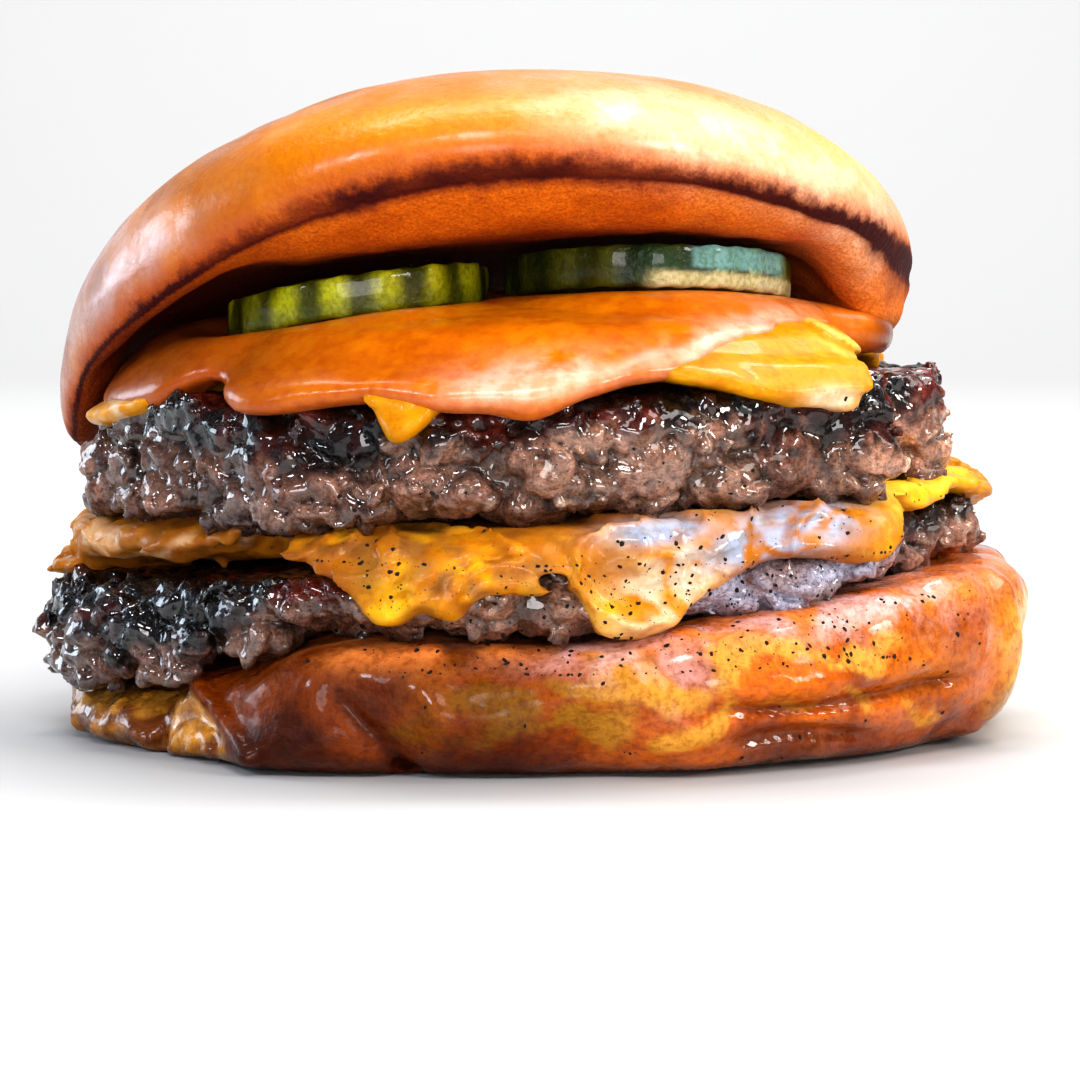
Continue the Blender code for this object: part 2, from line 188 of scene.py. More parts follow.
def cad_distance(node, box, blur=1.1, reach=11):
    """Signed distance to a CAD solid, mm, with its facets smoothed away."""
    points, tris = cad_points(node)
    pad = 4
    lo = np.floor(box.lo).astype(int) - pad
    n = np.ceil(box.n * box.step).astype(int) + 2 * pad + 2
    transform = vdb.createLinearTransform(voxelSize=COARSE)
    level = vdb.FloatGrid.createLevelSetFromPolygons(points, triangles=tris, transform=transform, halfWidth=reach)
    near = np.zeros(tuple(int(v) for v in n), F)
    level.copyToArray(near, ijk=tuple(int(v) for v in lo))
    axes = [(lo[k] + np.arange(n[k])).astype(F) for k in range(3)]
    return spread(near, axes, [box.axis(k) for k in range(3)], blur)


def skin(name, box, field, adaptivity=0.0, keep_largest=True):
    """The surface of a field as a mesh object, in metres."""
    h = box.step
    field = np.clip(field, -3 * h, 3 * h).astype(F)
    field[0], field[-1], field[:, 0], field[:, -1], field[:, :, 0], field[:, :, -1] = (F(3 * h),) * 6
    grid = vdb.FloatGrid()
    grid.background = float(3 * h)
    grid.copyFromArray(np.ascontiguousarray(field))
    co, tri, quad = grid.convertToPolygons(isovalue=0.0, adaptivity=adaptivity)
    co = co * h + box.lo
    faces = [tuple(t) for t in tri.tolist()] + [tuple(q) for q in quad.tolist()]
    # volume, to turn the faces outwards
    q = quad.astype(np.int64)
    if len(q):
        a, b, c, d = (co[q[:, n]] for n in range(4))
        vol = np.einsum("ij,ij->", a, np.cross(b, c)) + np.einsum("ij,ij->", a, np.cross(c, d))
    else:
        vol = 1.0
    if vol < 0:
        faces = [f[::-1] for f in faces]
    if keep_largest:
        edges = np.concatenate([q[:, [0, 1]], q[:, [1, 2]], q[:, [2, 3]]] + ([tri[:, [0, 1]].astype(np.int64), tri[:, [1, 2]].astype(np.int64)] if len(tri) else []))
        label = np.arange(len(co))
        while True:
            low = np.minimum(label[edges[:, 0]], label[edges[:, 1]])
            new = label.copy()
            np.minimum.at(new, edges[:, 0], low)
            np.minimum.at(new, edges[:, 1], low)
            new = new[new]
            if (new == label).all():
                break
            label = new
        names, count = np.unique(label, return_counts=True)
        best = names[count.argmax()]
        if len(names) > 1:
            kept = label == best
            index = np.cumsum(kept) - 1
            faces = [tuple(index[list(f)]) for f in faces if kept[f[0]]]
            co = co[kept]
    mesh = bpy.data.meshes.new(name)
    mesh.from_pydata((co / 1000).astype(F), [], faces)
    mesh.validate()
    obj = bpy.data.objects.new(name, mesh)
    bpy.context.scene.collection.objects.link(obj)
    return obj


def slim(obj, most):
    """Collapses the flattest faces until at most so many triangles are left."""
    tris = sum(len(p.vertices) - 2 for p in obj.data.polygons)
    if tris > most:
        mod = obj.modifiers.new("slim", "DECIMATE")
        mod.ratio = most / tris
        apply_all(obj)
    return obj


def apply_all(obj):
    graph = bpy.context.evaluated_depsgraph_get()
    mesh = bpy.data.meshes.new_from_object(obj.evaluated_get(graph))
    old = obj.data
    obj.modifiers.clear()
    obj.data = mesh
    mesh.name = obj.name
    bpy.data.meshes.remove(old)


def points_of(obj):
    co = np.empty(len(obj.data.vertices) * 3, F)
    obj.data.vertices.foreach_get("co", co)
    return co.reshape(-1, 3) * 1000


def normals_of(obj):
    no = np.empty(len(obj.data.vertices) * 3, F)
    obj.data.vertices.foreach_get("normal", no)
    return no.reshape(-1, 3)


def set_points(obj, co):
    obj.data.vertices.foreach_set("co", (co / 1000).astype(F).ravel())
    obj.data.update()


def paint(obj, name, rgb):
    """Keeps a colour (N, 3), linear, at each point."""
    rgba = np.ones((len(obj.data.vertices), 4), F)
    rgba[:, :3] = np.clip(rgb, 0, 1)
    layer = obj.data.color_attributes.new(name, "FLOAT_COLOR", "POINT")
    layer.data.foreach_set("color", rgba.ravel())


def keep(obj, name, values):
    layer = obj.data.attributes.new(name, "FLOAT", "POINT")
    layer.data.foreach_set("value", np.asarray(values, F))


def rgb(r, g, b):
    """A colour given as the screen shows it (0..255), as linear numbers."""
    c = np.array([r, g, b], float) / 255
    return np.where(c <= 0.04045, c / 12.92, ((c + 0.055) / 1.055) ** 2.4).astype(F)


def blend(a, b, t):
    t = np.asarray(t, F)[..., None]
    return a * (1 - t) + b * t


def finish_piece(obj, node, material, smooth_faces=True):
    obj.data.materials.clear()
    obj.data.materials.append(material)
    if smooth_faces:
        obj.data.shade_smooth()
    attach(obj, "root")
    if node:
        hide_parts(node)
    return obj


# ====================================================================== node helpers
def new_material(name):
    mat = bpy.data.materials.new(name)
    mat.use_nodes = True
    tree = mat.node_tree
    return mat, tree, tree.nodes["Principled BSDF"]


def node(tree, kind, **values):
    n = tree.nodes.new(kind)
    for key, value in values.items():
        if key in n.inputs:
            n.inputs[key].default_value = value
        else:
            setattr(n, key, value)
    return n


def object_mm(tree):
    """The piece's own coordinates in millimetres."""
    coord = tree.nodes.new("ShaderNodeTexCoord")
    scale = node(tree, "ShaderNodeVectorMath", operation="SCALE")
    scale.inputs["Scale"].default_value = 1000.0
    tree.links.new(coord.outputs["Object"], scale.inputs[0])
    return scale.outputs[0]


def noise(tree, vector, scale, detail=3.0, rough=0.55, distortion=0.0):
    n = node(tree, "ShaderNodeTexNoise", Scale=scale, Detail=detail, Roughness=rough, Distortion=distortion)
    tree.links.new(vector, n.inputs["Vector"])
    return n.outputs["Fac"]


def remap(tree, value, a, b, low=0.0, high=1.0, smoothstep=True):
    n = node(tree, "ShaderNodeMapRange")
    n.interpolation_type = "SMOOTHSTEP" if smoothstep else "LINEAR"
    for key, v in zip(("From Min", "From Max", "To Min", "To Max"), (a, b, low, high)):
        n.inputs[key].default_value = v
    tree.links.new(value, n.inputs["Value"])
    return n.outputs["Result"]


def maths(tree, op, a, b=0.0, clamp=False):
    n = node(tree, "ShaderNodeMath", operation=op)
    n.use_clamp = clamp
    for slot, v in zip(n.inputs, (a, b)):
        if isinstance(v, (int, float)):
            slot.default_value = v
        else:
            tree.links.new(v, slot)
    return n.outputs[0]


def mix_colour(tree, fac, a, b, mode="MIX"):
    n = node(tree, "ShaderNodeMix", data_type="RGBA", blend_type=mode)
    n.clamp_result = True
    for slot, v in ((n.inputs[0], fac), (n.inputs[6], a), (n.inputs[7], b)):
        if isinstance(v, (int, float)):
            slot.default_value = v
        elif isinstance(v, (tuple, list, np.ndarray)):
            slot.default_value = (*[float(x) for x in v[:3]], 1.0)
        else:
            tree.links.new(v, slot)
    return n.outputs[2]


def attribute(tree, name, colour=False):
    n = node(tree, "ShaderNodeAttribute", attribute_type="GEOMETRY")
    n.attribute_name = name
    return n.outputs["Color"] if colour else n.outputs["Fac"]


def bumps(tree, shader, heights):
    """Chained bumps: (height socket, distance in mm, strength)."""
    last = None
    for height, distance, strength in heights:
        b = node(tree, "ShaderNodeBump", Strength=strength, Distance=distance / 1000)
        tree.links.new(height, b.inputs["Height"])
        if last is not None:
            tree.links.new(last, b.inputs["Normal"])
        last = b.outputs["Normal"]
    tree.links.new(last, shader.inputs["Normal"])
    return last


# ====================================================================== places on the burger
UPPER_C, LOWER_C, CROWN_C = (-2.6, -0.6), (-2.0, 0.3), (-6.4, 2.0)


def smooth_max(a, b, k):
    return -smooth_min(-a, -b, k)


def polar(p, centre):
    x, y = p[:, 0] - centre[0], p[:, 1] - centre[1]
    return np.hypot(x, y), np.degrees(np.arctan2(y, x))


def blob(p, x, z, a, b, tilt=0.0):
    """A soft oval patch on the front, centred at x, z, with half sizes a and b."""
    c, s = math.cos(math.radians(tilt)), math.sin(math.radians(tilt))
    u = (p[:, 0] - x) * c + (p[:, 2] - z) * s
    v = -(p[:, 0] - x) * s + (p[:, 2] - z) * c
    return np.exp(-((u / a) ** 2 + (v / b) ** 2)) * smooth(4.0, -8.0, p[:, 1])


def around(table, angle, soften=0.9):
    """Reads a table of (angle, value) round the burger, smoothed by so many degrees."""
    a = np.array([t[0] for t in table], float)
    v = np.array([t[1] for t in table], float)
    grid = np.arange(-180, 180, 0.5)
    values = np.interp(grid, a, v, period=360)
    reach = np.arange(-12, 13) * 0.5
    w = np.exp(-0.5 * (reach / soften) ** 2)
    values = sum(np.roll(values, int(r * 2)) * k for r, k in zip(reach, w)) / w.sum()
    return np.interp(angle, grid, values, period=360).astype(F)


# lower edges of what melted over the rims: angle round the patty, height
LOWER_EDGE = ((-170, 17.4), (-157, 21.3), (-147, 22.0), (-138, 23.1), (-132.5, 23.8), (-130, 27.6), (-122, 27.6),
              (-119.5, 23.2), (-114, 21.7), (-110, 20.1), (-109, 17.8), (-107, 16.2), (-104, 16.6), (-102, 18.4),
              (-99, 16.9), (-97, 16.6), (-96, 19.7), (-89, 19.9), (-84, 20.8), (-82, 18.5), (-81, 15.6),
              (-77, 14.9), (-72, 15.4), (-69, 18.6), (-63, 21.8), (-59, 23.3), (-51, 23.0), (-41, 21.7),
              (-38, 25.8), (-35, 28.5), (-27, 26.5), (-17, 29.0), (0, 26.0), (16, 22.5), (28, 24.5), (44, 20.5),
              (60, 19.0), (72, 22.5), (88, 23.0), (104, 19.5), (118, 18.0), (133, 21.5), (150, 20.5), (172, 18.0))
UPPER_EDGE = ((-178, 35.3), (-155, 36.4), (-145, 39.0), (-141, 42.4), (-125, 43.0), (-111, 43.0), (-108.5, 40.1), (-106.5, 37.6),
              (-104.3, 35.9), (-102, 36.9), (-99, 39.4), (-96.5, 42.6), (-75, 43.4), (-69, 42.2), (-63, 41.3),
              (-59, 40.3), (-54, 39.5), (-50, 39.5), (-45, 38.5), (-43.5, 43.4), (-39, 44.8), (-33, 44.3),
              (-18, 43.8), (0, 41.0), (18, 38.5), (34, 41.0), (52, 38.0), (70, 36.0), (90, 38.5), (110, 36.5),
              (132, 34.5), (150, 37.5), (168, 36.0))
SAUCE_EDGE = ((-176, 40.0), (-163, 37.8), (-150, 37.8), (-143, 38.8), (-141, 40.2), (-137, 42.2), (-134.5, 41.9), (-132, 40.7),
              (-129.5, 39.4), (-126, 38.5), (-121, 38.6), (-114, 39.6), (-108, 40.1), (-99, 39.3), (-92, 38.8),
              (-88, 38.1), (-86, 38.7), (-82, 40.6), (-76, 41.8), (-69, 42.4), (-64, 44.1), (-62, 45.1),
              (-57, 46.1), (-52, 46.4), (-48, 47.3), (-40, 47.6), (-30, 46.0), (-20, 44.3), (0, 43.4), (20, 42.6), (50, 41.8),
              (80, 41.0), (110, 40.5), (140, 39.5), (165, 39.5))
RING = (30.6, 37.4, 44.2, 50.2, 56.6, 61.2, 63.6, 64.0, 62.6, 60.2, 57.4, 54.6,
        52.2, 49.6, 47.2, 46.8, 46.6, 46.4, 46.0, 44.8, 42.0, 36.8, 31.4, 28.6)


PICKLES = {
    "pickle_left": (-20.6, -18.6, 47.4, 15.0, 4.9, 0.150, -0.10, 15),
    "pickle_right": (12.2, -15.2, 50.1, 16.6, 5.0, 0.004, -0.12, 17),
}


def upper_rim(ang):
    """Radius of the upper patty's rim at an angle in degrees."""
    a = np.radians(ang)
    r = 1 / (np.abs(np.cos(a) / 49.6) ** 2.1 + np.abs(np.sin(a) / 48.6) ** 2.1) ** (1 / 2.1)
    r = r + lump(ang, 158, 26, -6.2) + lump(ang, -27, 7, -4.6) + lump(ang, -44, 8, 2.4)
    r = r + lump(ang, -132, 6, -2.6) + lump(ang, -66, 8, -1.2) + lump(ang, 22, 9, 1.2)
    return r + lump(ang, 54, 9, -2.6) + lump(ang, 98, 10, 1.6) + lump(ang, 133, 8, -2.2)


def lower_top(p):
    return 24.4 + 0.088 * p[:, 0] - 0.00042 * p[:, 0] ** 2 - 0.0003 * p[:, 1] ** 2


def upper_bottom(p):
    return 27.7 + 0.046 * p[:, 0] + 0.00026 * p[:, 0] ** 2 - 0.0002 * p[:, 1] ** 2


def upper_top(p):
    return 42.0 + 0.022 * p[:, 0] - 0.00038 * p[:, 0] ** 2 - 0.00035 * p[:, 1] ** 2


# ====================================================================== patties
def swell_of(p, seed):
    """The broad unevenness of a patty's side, shared by what melted over it."""
    return 1.3 * fbm(p, 11.0, 2, seed + 5)


def nuggets(p, seed):
    """Warped cell noise in three sizes for ground meat: clumps, crumbs, grains."""
    broad = np.stack([value_noise(p, 7.0, seed + k) for k in (1, 2, 3)], 1)
    tight = np.stack([value_noise(p, 2.3, seed + k) for k in (6, 7, 8)], 1)
    q = p + 2.4 * broad + 0.75 * tight
    clump = cells(q * np.array([0.85, 0.85, 1.1], F), 5.6, seed + 11, 1.0)
    crumb = cells(p + 1.0 * broad + 0.9 * tight, 2.5, seed + 23, 1.0)
    grain = cells(p + 0.6 * tight, 1.15, seed + 31, 1.0)
    return clump, crumb, grain


def patty_relief(p, seed, hfrac):
    """How far ground meat stands proud of the patty's plain form, mm, and how deep a point
    lies between the nuggets, 0..1."""
    clump, crumb, grain = nuggets(p, seed)
    f1, f2, who = clump
    g1, g2, who2 = crumb
    h1, h2, who3 = grain
    uneven = 0.5 + 0.5 * value_noise(p, 4.5, seed + 81)
    dome = 2.1 * (1 - np.clip(f1 / 0.80, 0, 1) ** 2) * (0.55 + 0.8 * who) - 1.05
    seam = np.exp(-(((f2 - f1) / 0.13) ** 2))
    big = dome - 0.9 * seam * uneven
    dome2 = 1.15 * (1 - np.clip(g1 / 0.80, 0, 1) ** 2) * (0.4 + who2) - 0.55
    seam2 = np.exp(-(((g2 - g1) / 0.15) ** 2))
    mid = dome2 - 0.30 * seam2
    small = 0.46 * (0.45 - h1) * (0.5 + who3)
    crust = smooth(0.50, 0.80, hfrac)
    relief = swell_of(p, seed) + big * (1 - 0.5 * crust) + mid * (1 - 0.1 * crust) + small * (0.9 + 1.4 * crust)
    hollow = np.clip(0.9 * smooth(0.55, 0.95, f1) + 0.75 * seam * uneven + 0.45 * smooth(0.55, 0.9, g1) + 0.3 * seam2, 0, 1)
    return relief, hollow


def patty_height(p, node):
    """0 at the underside, 1 at the top of a patty, by its place."""
    if node == "patty_upper":
        low, high = upper_bottom(p), upper_top(p)
    else:
        x, y = p[:, 0], p[:, 1]
        low = 7.0 + 8.3 * smooth(-45, -21, x) + 5.2 * smooth(-5, 60, x) - 0.0002 * y * y
        high = lower_top(p)
    return (p[:, 2] - low) / (high - low)


def make_patty(node, centre, seed, step, most):
    lo, hi = (np.array(c) * 1000 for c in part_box(node))
    box = Box(lo - 3.5, hi + 3.5, step)
    field = cad_distance(node, box, 1.0)
    index, p = box.where(np.abs(field) < 3.6)
    r, ang = polar(p, centre)
    # the hidden broad faces stay plain
    side = smooth(37.0, 43.5, r)
    live = side > 0.01
    relief = np.zeros(len(p), F)
    hfrac = patty_height(p, node)
    relief[live] = patty_relief(p[live], seed, hfrac[live])[0] * side[live]
    # the meat stays clear of what lies flat on its top and under it
    relief -= 1.2 * side * (smooth(0.93, 1.05, hfrac) * (1 - smooth(46, 50, r)))
    if node == "patty_upper":  # the split in front of the right-hand lobe
        relief -= 3.2 * np.exp(-(((ang + 31.0) / 2.2) ** 2)) * smooth(38, 47, r)
        relief += 1.8 * np.exp(-(((ang + 38.5) / 5.0) ** 2)) * smooth(36, 44, r)
        relief += 1.4 * np.exp(-(((ang + 20.0) / 8.0) ** 2)) * smooth(36, 44, r)
        # the charred bump that pokes up at the left
        relief += 0.9 * np.exp(-(((ang + 140.0) / 6.0) ** 2)) * smooth(0.7, 1.0, hfrac) * smooth(40, 46, r)
    field[index] -= relief
    obj = skin(node + "_meat", box, field)
    slim(obj, most)
    return obj


def colour_patty(obj, node, centre, seed):
    p = points_of(obj)
    n = normals_of(obj)
    r, ang = polar(p, centre)
    hfrac = patty_height(p, node)
    relief, hollow = patty_relief(p, seed, hfrac)
    clump, crumb, grain = nuggets(p, seed)
    who, who2, who3, g1 = clump[2], crumb[2], grain[2], crumb[0]
    soft = fbm(p, 9.0, 3, seed + 51)
    fine = fbm(p, 1.5, 2, seed + 61)
    left = smooth(0.0, -45.0, p[:, 0])
    meat = blend(rgb(122, 76, 56), rgb(188, 142, 110), np.clip(0.15 + 0.8 * who + 0.4 * soft + 0.3 * who2, 0, 1))
    meat = blend(meat, rgb(70, 38, 30), np.clip(1.8 * who2 - 0.95, 0, 1))
    meat = blend(meat, rgb(214, 178, 142), 0.85 * smooth(0.74, 0.95, who2) * smooth(0.5, 0.2, g1))
    # towards the left the meat goes greyer, and darker in patches; the darkening is painted shade on the less lit side
    meat = blend(meat, rgb(122, 84, 68), 0.40 * left)
    meat = blend(meat, rgb(50, 24, 18), 0.55 * left * smooth(-0.2, 0.4, soft))
    seared = blend(rgb(36, 12, 8), rgb(110, 28, 12), np.clip(0.20 + 0.9 * soft + 0.6 * fine + 0.5 * who2, 0, 1))
    seared = blend(seared, rgb(128, 62, 34), 0.7 * smooth(0.8, 1.0, who3) * smooth(0.0, 0.4, soft))
    burnt = rgb(13, 6, 5)
    seared = blend(seared, burnt, smooth(0.2, 0.8, 0.42 + 0.8 * fbm(p, 5.0, 2, seed + 71) + 0.35 * left))
    if node == "patty_upper":
        edge = 0.60 + 0.30 * soft + 0.16 * fine - 0.04 * left + 0.16 * (who - 0.5) + lump(ang, -38, 9, -0.14)
    else:
        edge = 0.70 + 0.24 * soft + 0.14 * fine - 0.28 * left + 0.12 * (who - 0.5)
    char = smooth(edge - 0.10, edge + 0.12, hfrac)
    char = np.maximum(char, smooth(0.2, 0.8, n[:, 2]) * smooth(0.75, 0.95, hfrac))
    tint = blend(meat, seared, char)
    # painted shade: darker in the hollows between the nuggets
    tint = tint * (1 - 0.72 * hollow * (1 - 0.3 * char))[:, None]
    tint = tint * (1 + 0.30 * fine)[:, None]
    tint = blend(tint, rgb(44, 22, 16), 0.7 * smooth(0.20, -0.02, hfrac))
    if node == "patty_upper":
        tint = tint * (1 + 0.7 * smooth(33.5, 38.0, p[:, 0]) * smooth(2, -6, p[:, 1]))[:, None]
    if node == "patty_lower":
        # greyish grease and a bluish-white fat pool at the right; their pale bluish tone is partly a painted sheen
        grease = np.clip(1.3 * blob(p, 30.0, 20.0, 12.0, 4.2, 8), 0, 1) * smooth(-0.5, 0.3, fine + 0.3)
        tint = blend(tint, rgb(160, 138, 132), 0.5 * grease)
        pool = np.clip(1.6 * (blob(p, 19.8, 19.0, 4.2, 1.8, 28) + blob(p, 33.0, 21.8, 4.4, 1.6, 8) + blob(p, 26.0, 18.6, 3.0, 1.0, 10)), 0, 1) * smooth(-0.5, 0.0, fine + 0.3)
        tint = blend(tint, rgb(192, 196, 208), 0.9 * pool)
        tint = blend(tint, rgb(214, 116, 40), 0.75 * blob(p, 48.5, 22.5, 4.5, 6.0) * smooth(0.0, 0.35, soft + 0.15))
    paint(obj, "tint", tint)
    keep(obj, "char", char)
    keep(obj, "wet", np.clip(0.45 + 0.9 * soft + 0.35 * left, 0, 1))
    return obj


def meat_material():
    mat, t, s = new_material("seared_beef")
    mm = object_mm(t)
    tint, char, wet = attribute(t, "tint", True), attribute(t, "char"), attribute(t, "wet")
    grain = noise(t, mm, 1.7, 4.0, 0.65)
    speck = noise(t, mm, 3.2, 2.0, 0.6)
    colour = mix_colour(t, remap(t, grain, 0.35, 0.70), mix_colour(t, 1.0, tint, (1.02, 1.0, 1.14), "MULTIPLY"),
                        mix_colour(t, 1.0, tint, (0.38, 0.35, 0.40), "MULTIPLY"))
    colour = mix_colour(t, remap(t, speck, 0.67, 0.72, 0.0, 0.85), colour, (0.010, 0.007, 0.006))
    t.links.new(colour, s.inputs["Base Color"])
    patch = noise(t, mm, 0.40, 2.0, 0.5)
    rough = remap(t, patch, 0.35, 0.65, 0.26, 0.48)
    rough = maths(t, "SUBTRACT", rough, maths(t, "MULTIPLY", wet, 0.10))
    t.links.new(rough, s.inputs["Roughness"])
    s.inputs["Specular IOR Level"].default_value = 0.18
    film = remap(t, noise(t, mm, 0.60, 3.0, 0.6), 0.34, 0.50)
    t.links.new(maths(t, "MULTIPLY", film, maths(t, "ADD", maths(t, "MULTIPLY", wet, 0.6), 0.5)), s.inputs["Coat Weight"])
    s.inputs["Coat Roughness"].default_value = 0.035
    s.inputs["Coat IOR"].default_value = 1.7
    coarse = noise(t, mm, 0.85, 3.0, 0.6)
    bumps(t, s, [(coarse, 0.55, 0.8), (grain, 0.28, 1.0), (speck, 0.12, 1.0)])
    return mat


# ====================================================================== cheese and sauce
def rounded_rim(field, edge, z, k):
    return smooth_max(field, edge - z, k)


def make_cheese_lower(step, most):
    lo, hi = (np.array(c) * 1000 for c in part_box("cheese_lower"))
    box = Box(np.array([lo[0] - 3, lo[1] - 3, 12.0]), hi + 3, step)
    own = cad_distance("cheese_lower", box, 0.9)
    under = cad_distance("patty_lower", box, 1.5)
    index, p = box.where(np.minimum(own, under - 3.0) < 2.5)
    r, ang = polar(p, LOWER_C)
    z = p[:, 2]
    left = smooth(-118.0, -132.0, ang) * (ang < 0)
    edge = around(LOWER_EDGE, ang) + (0.55 + 1.5 * left) * fbm(p, 4.0, 2, 301)
    thick = 1.75 - 0.80 * left + 0.7 * fbm(p, 7.0, 2, 311) + 0.9 * np.exp(-(((z - edge - 1.4) / 1.3) ** 2))
    thick += lump(ang, -105.5, 4.0, 0.9) + lump(ang, -77.5, 5.5, 0.9) + lump(ang, -98.0, 2.5, 0.4)
    thick += 0.8 * blob(p, 33.0, 24.5, 9.0, 2.4)
    shell = under[index] - swell_of(p, 43) - thick + 4.0 * smooth(42.0, 37.0, r)
    shell = smooth_max(shell, z - upper_bottom(p) - 0.9, 1.4)
    own_part = smooth_max(own[index], lower_top(p) - 1.5 - z, 1.0) - 0.35 * fbm(p, 6.0, 2, 321)
    form = smooth_min(own_part + 0.9 * left * smooth(44, 50, r), shell, 1.0)
    # soft folds where it ran
    warp = np.stack([fbm(p, 9.0, 2, 351), fbm(p, 9.0, 2, 352), fbm(p, 9.0, 2, 353)], 1)
    crest = 1 - np.abs(fbm((p + 3.5 * warp) * np.array([1, 1, 1.3], F), 6.5, 2, 355)) * 3.2
    form = form - 0.75 * smooth(0.35, 1.0, crest) * smooth(40, 45, r) + 0.20
    # the small dark hole in the middle of the front
    hole = 2.6 - np.hypot((p[:, 0] - 1.4) / 1.5, (z - 21.6) / 0.75)
    form = np.where(p[:, 1] < 0, smooth_max(form, 2.0 * (hole - 1.5), 0.8), form)
    inner = smooth(43.0, 39.0, r) * np.clip(edge - lower_top(p) + 1.5, 0, None)
    form = rounded_rim(form, edge - inner, z, 1.7)
    field = np.full(tuple(box.n), 3.0, F)
    field[index] = form
    obj = skin("cheese_lower_melt", box, field)
    slim(obj, most)
    return obj


def colour_cheese_lower(obj):
    p = points_of(obj)
    r, ang = polar(p, LOWER_C)
    x, z = p[:, 0], p[:, 2]
    edge = around(LOWER_EDGE, ang)
    warp = np.stack([fbm(p, 9.0, 2, 341), fbm(p, 9.0, 2, 342), fbm(p, 9.0, 2, 343)], 1)
    soft, fine = fbm(p, 8.0, 3, 345), fbm(p + 3.0 * warp, 2.2, 3, 347)
    swirl = fbm((p + 5.0 * warp) * np.array([1, 1, 2.2], F), 5.0, 3, 349)
    gold, amber, brown = rgb(220, 142, 4), rgb(172, 104, 18), rgb(92, 50, 20)
    tint = blend(gold, amber, np.clip(0.35 + 1.3 * soft + 0.6 * smooth(0, -45, x), 0, 1))
    tint = blend(tint, rgb(232, 168, 18), 0.7 * smooth(0.10, 0.45, swirl))
    tint = blend(tint, brown, 0.55 * smooth(0.16, 0.44, fine) * smooth(30, -20, x))
    tint = blend(tint, rgb(150, 104, 56), 0.75 * np.clip(1.3 * blob(p, -9.0, 22.5, 11.0, 3.2, -6), 0, 1) * smooth(-0.25, 0.2, fine))
    tint = blend(tint, rgb(250, 190, 20), 0.8 * np.maximum(blob(p, -15.5, 18.5, 3.0, 3.4), blob(p, 6.5, 17.0, 3.2, 3.2)))
    cream = np.clip(1.5 * blob(p, 13.5, 21.0, 6.5, 3.2, 35), 0, 1) * smooth(-0.25, 0.15, swirl + 0.10)
    tint = blend(tint, rgb(226, 206, 178), 0.85 * cream)
    # bluish-white fat at the top of the front, partly a painted sheen
    milk = np.clip(2.0 * blob(p, 26.0, 25.8, 7.5, 2.4, 12), 0, 1) * smooth(-0.30, 0.02, swirl + 0.10)
    milk = np.maximum(milk, np.clip(1.6 * blob(p, 12.5, 26.6, 5.0, 1.2, 3), 0, 1))
    tint = blend(tint, rgb(158, 174, 204), 0.94 * milk)
    tint = blend(tint, rgb(150, 104, 84), 0.6 * milk * smooth(0.12, 0.4, fine))
    tint = blend(tint, rgb(160, 92, 30), 0.6 * smooth(2.0, 0.2, z - edge) * smooth(0.0, 0.4, soft + 0.1))
    # painted shade: darker where the cheese meets the upper patty's underside
    tint = blend(tint, rgb(150, 98, 44), 0.5 * smooth(1.2, 2.4, z - upper_bottom(p) + 2.0) * smooth(22, -10, x))
    far = smooth(-26, -36, x) * smooth(8, -4, p[:, 1])
    tint = blend(tint, blend(rgb(150, 92, 26), rgb(196, 160, 130), smooth(0.15, 0.4, swirl + 0.4 * fine)), 0.75 * far)
    tint = blend(tint, rgb(252, 196, 46), 0.9 * np.clip(1.3 * blob(p, 43.0, 31.0, 6.0, 4.0), 0, 1))
    paint(obj, "tint", tint)
    keep(obj, "milk", np.maximum(milk, cream))
    return obj


def sauce_surface(p):
    """Top of the slumped sauce, pressed down under the pickles."""
    x, y = p[:, 0], p[:, 1]
    r2 = ((x + 2.0) / 50.5) ** 2 + ((y + 2.0) / 50.5) ** 2
    z = upper_top(p) + 3.1 + 7.2 * np.clip(1 - r2, 0, 1) ** 0.62 - 0.055 * np.clip(y + 8.0, 0, None)
    for cx, cy, height, radius, thick, right, back, ribs in PICKLES.values():
        away = np.hypot(x - cx, y - cy)
        plane = height + right * (x - cx) + back * (y - cy)
        z = z + (1 - smooth(radius - 1.5, radius + 6.0, away)) * (plane + 0.15 - z)
    return z


def mound(p, under, crown):
    """The slumped body over the upper patty's top and rim: sauce, and cheese where bare."""
    r, ang = polar(p, UPPER_C)
    z, rim = p[:, 2], upper_rim(ang)
    front = np.exp(-(((ang + 95.0) / 50.0) ** 2))
    side = 2.4 + 1.0 * front + 0.45 * fbm(p, 12.0, 2, 511) - 0.9 * np.exp(-(((ang + 150.0) / 18.0) ** 2))
    edge = around(SAUCE_EDGE, ang, 1.3)
    side += 1.3 * front * np.exp(-(((z - edge - 3.6) / 3.0) ** 2))
    thick = side + 9.0 * smooth(rim + 0.5, rim - 9.0, r)
    form = under - swell_of(p, 7) * smooth(rim - 8.0, rim - 3.0, r) - thick
    form = smooth_max(form, z - sauce_surface(p) - 0.25 * fbm(p, 9.0, 2, 521), 5.0)
    return smooth_max(form, 0.5 - crown, 1.0)


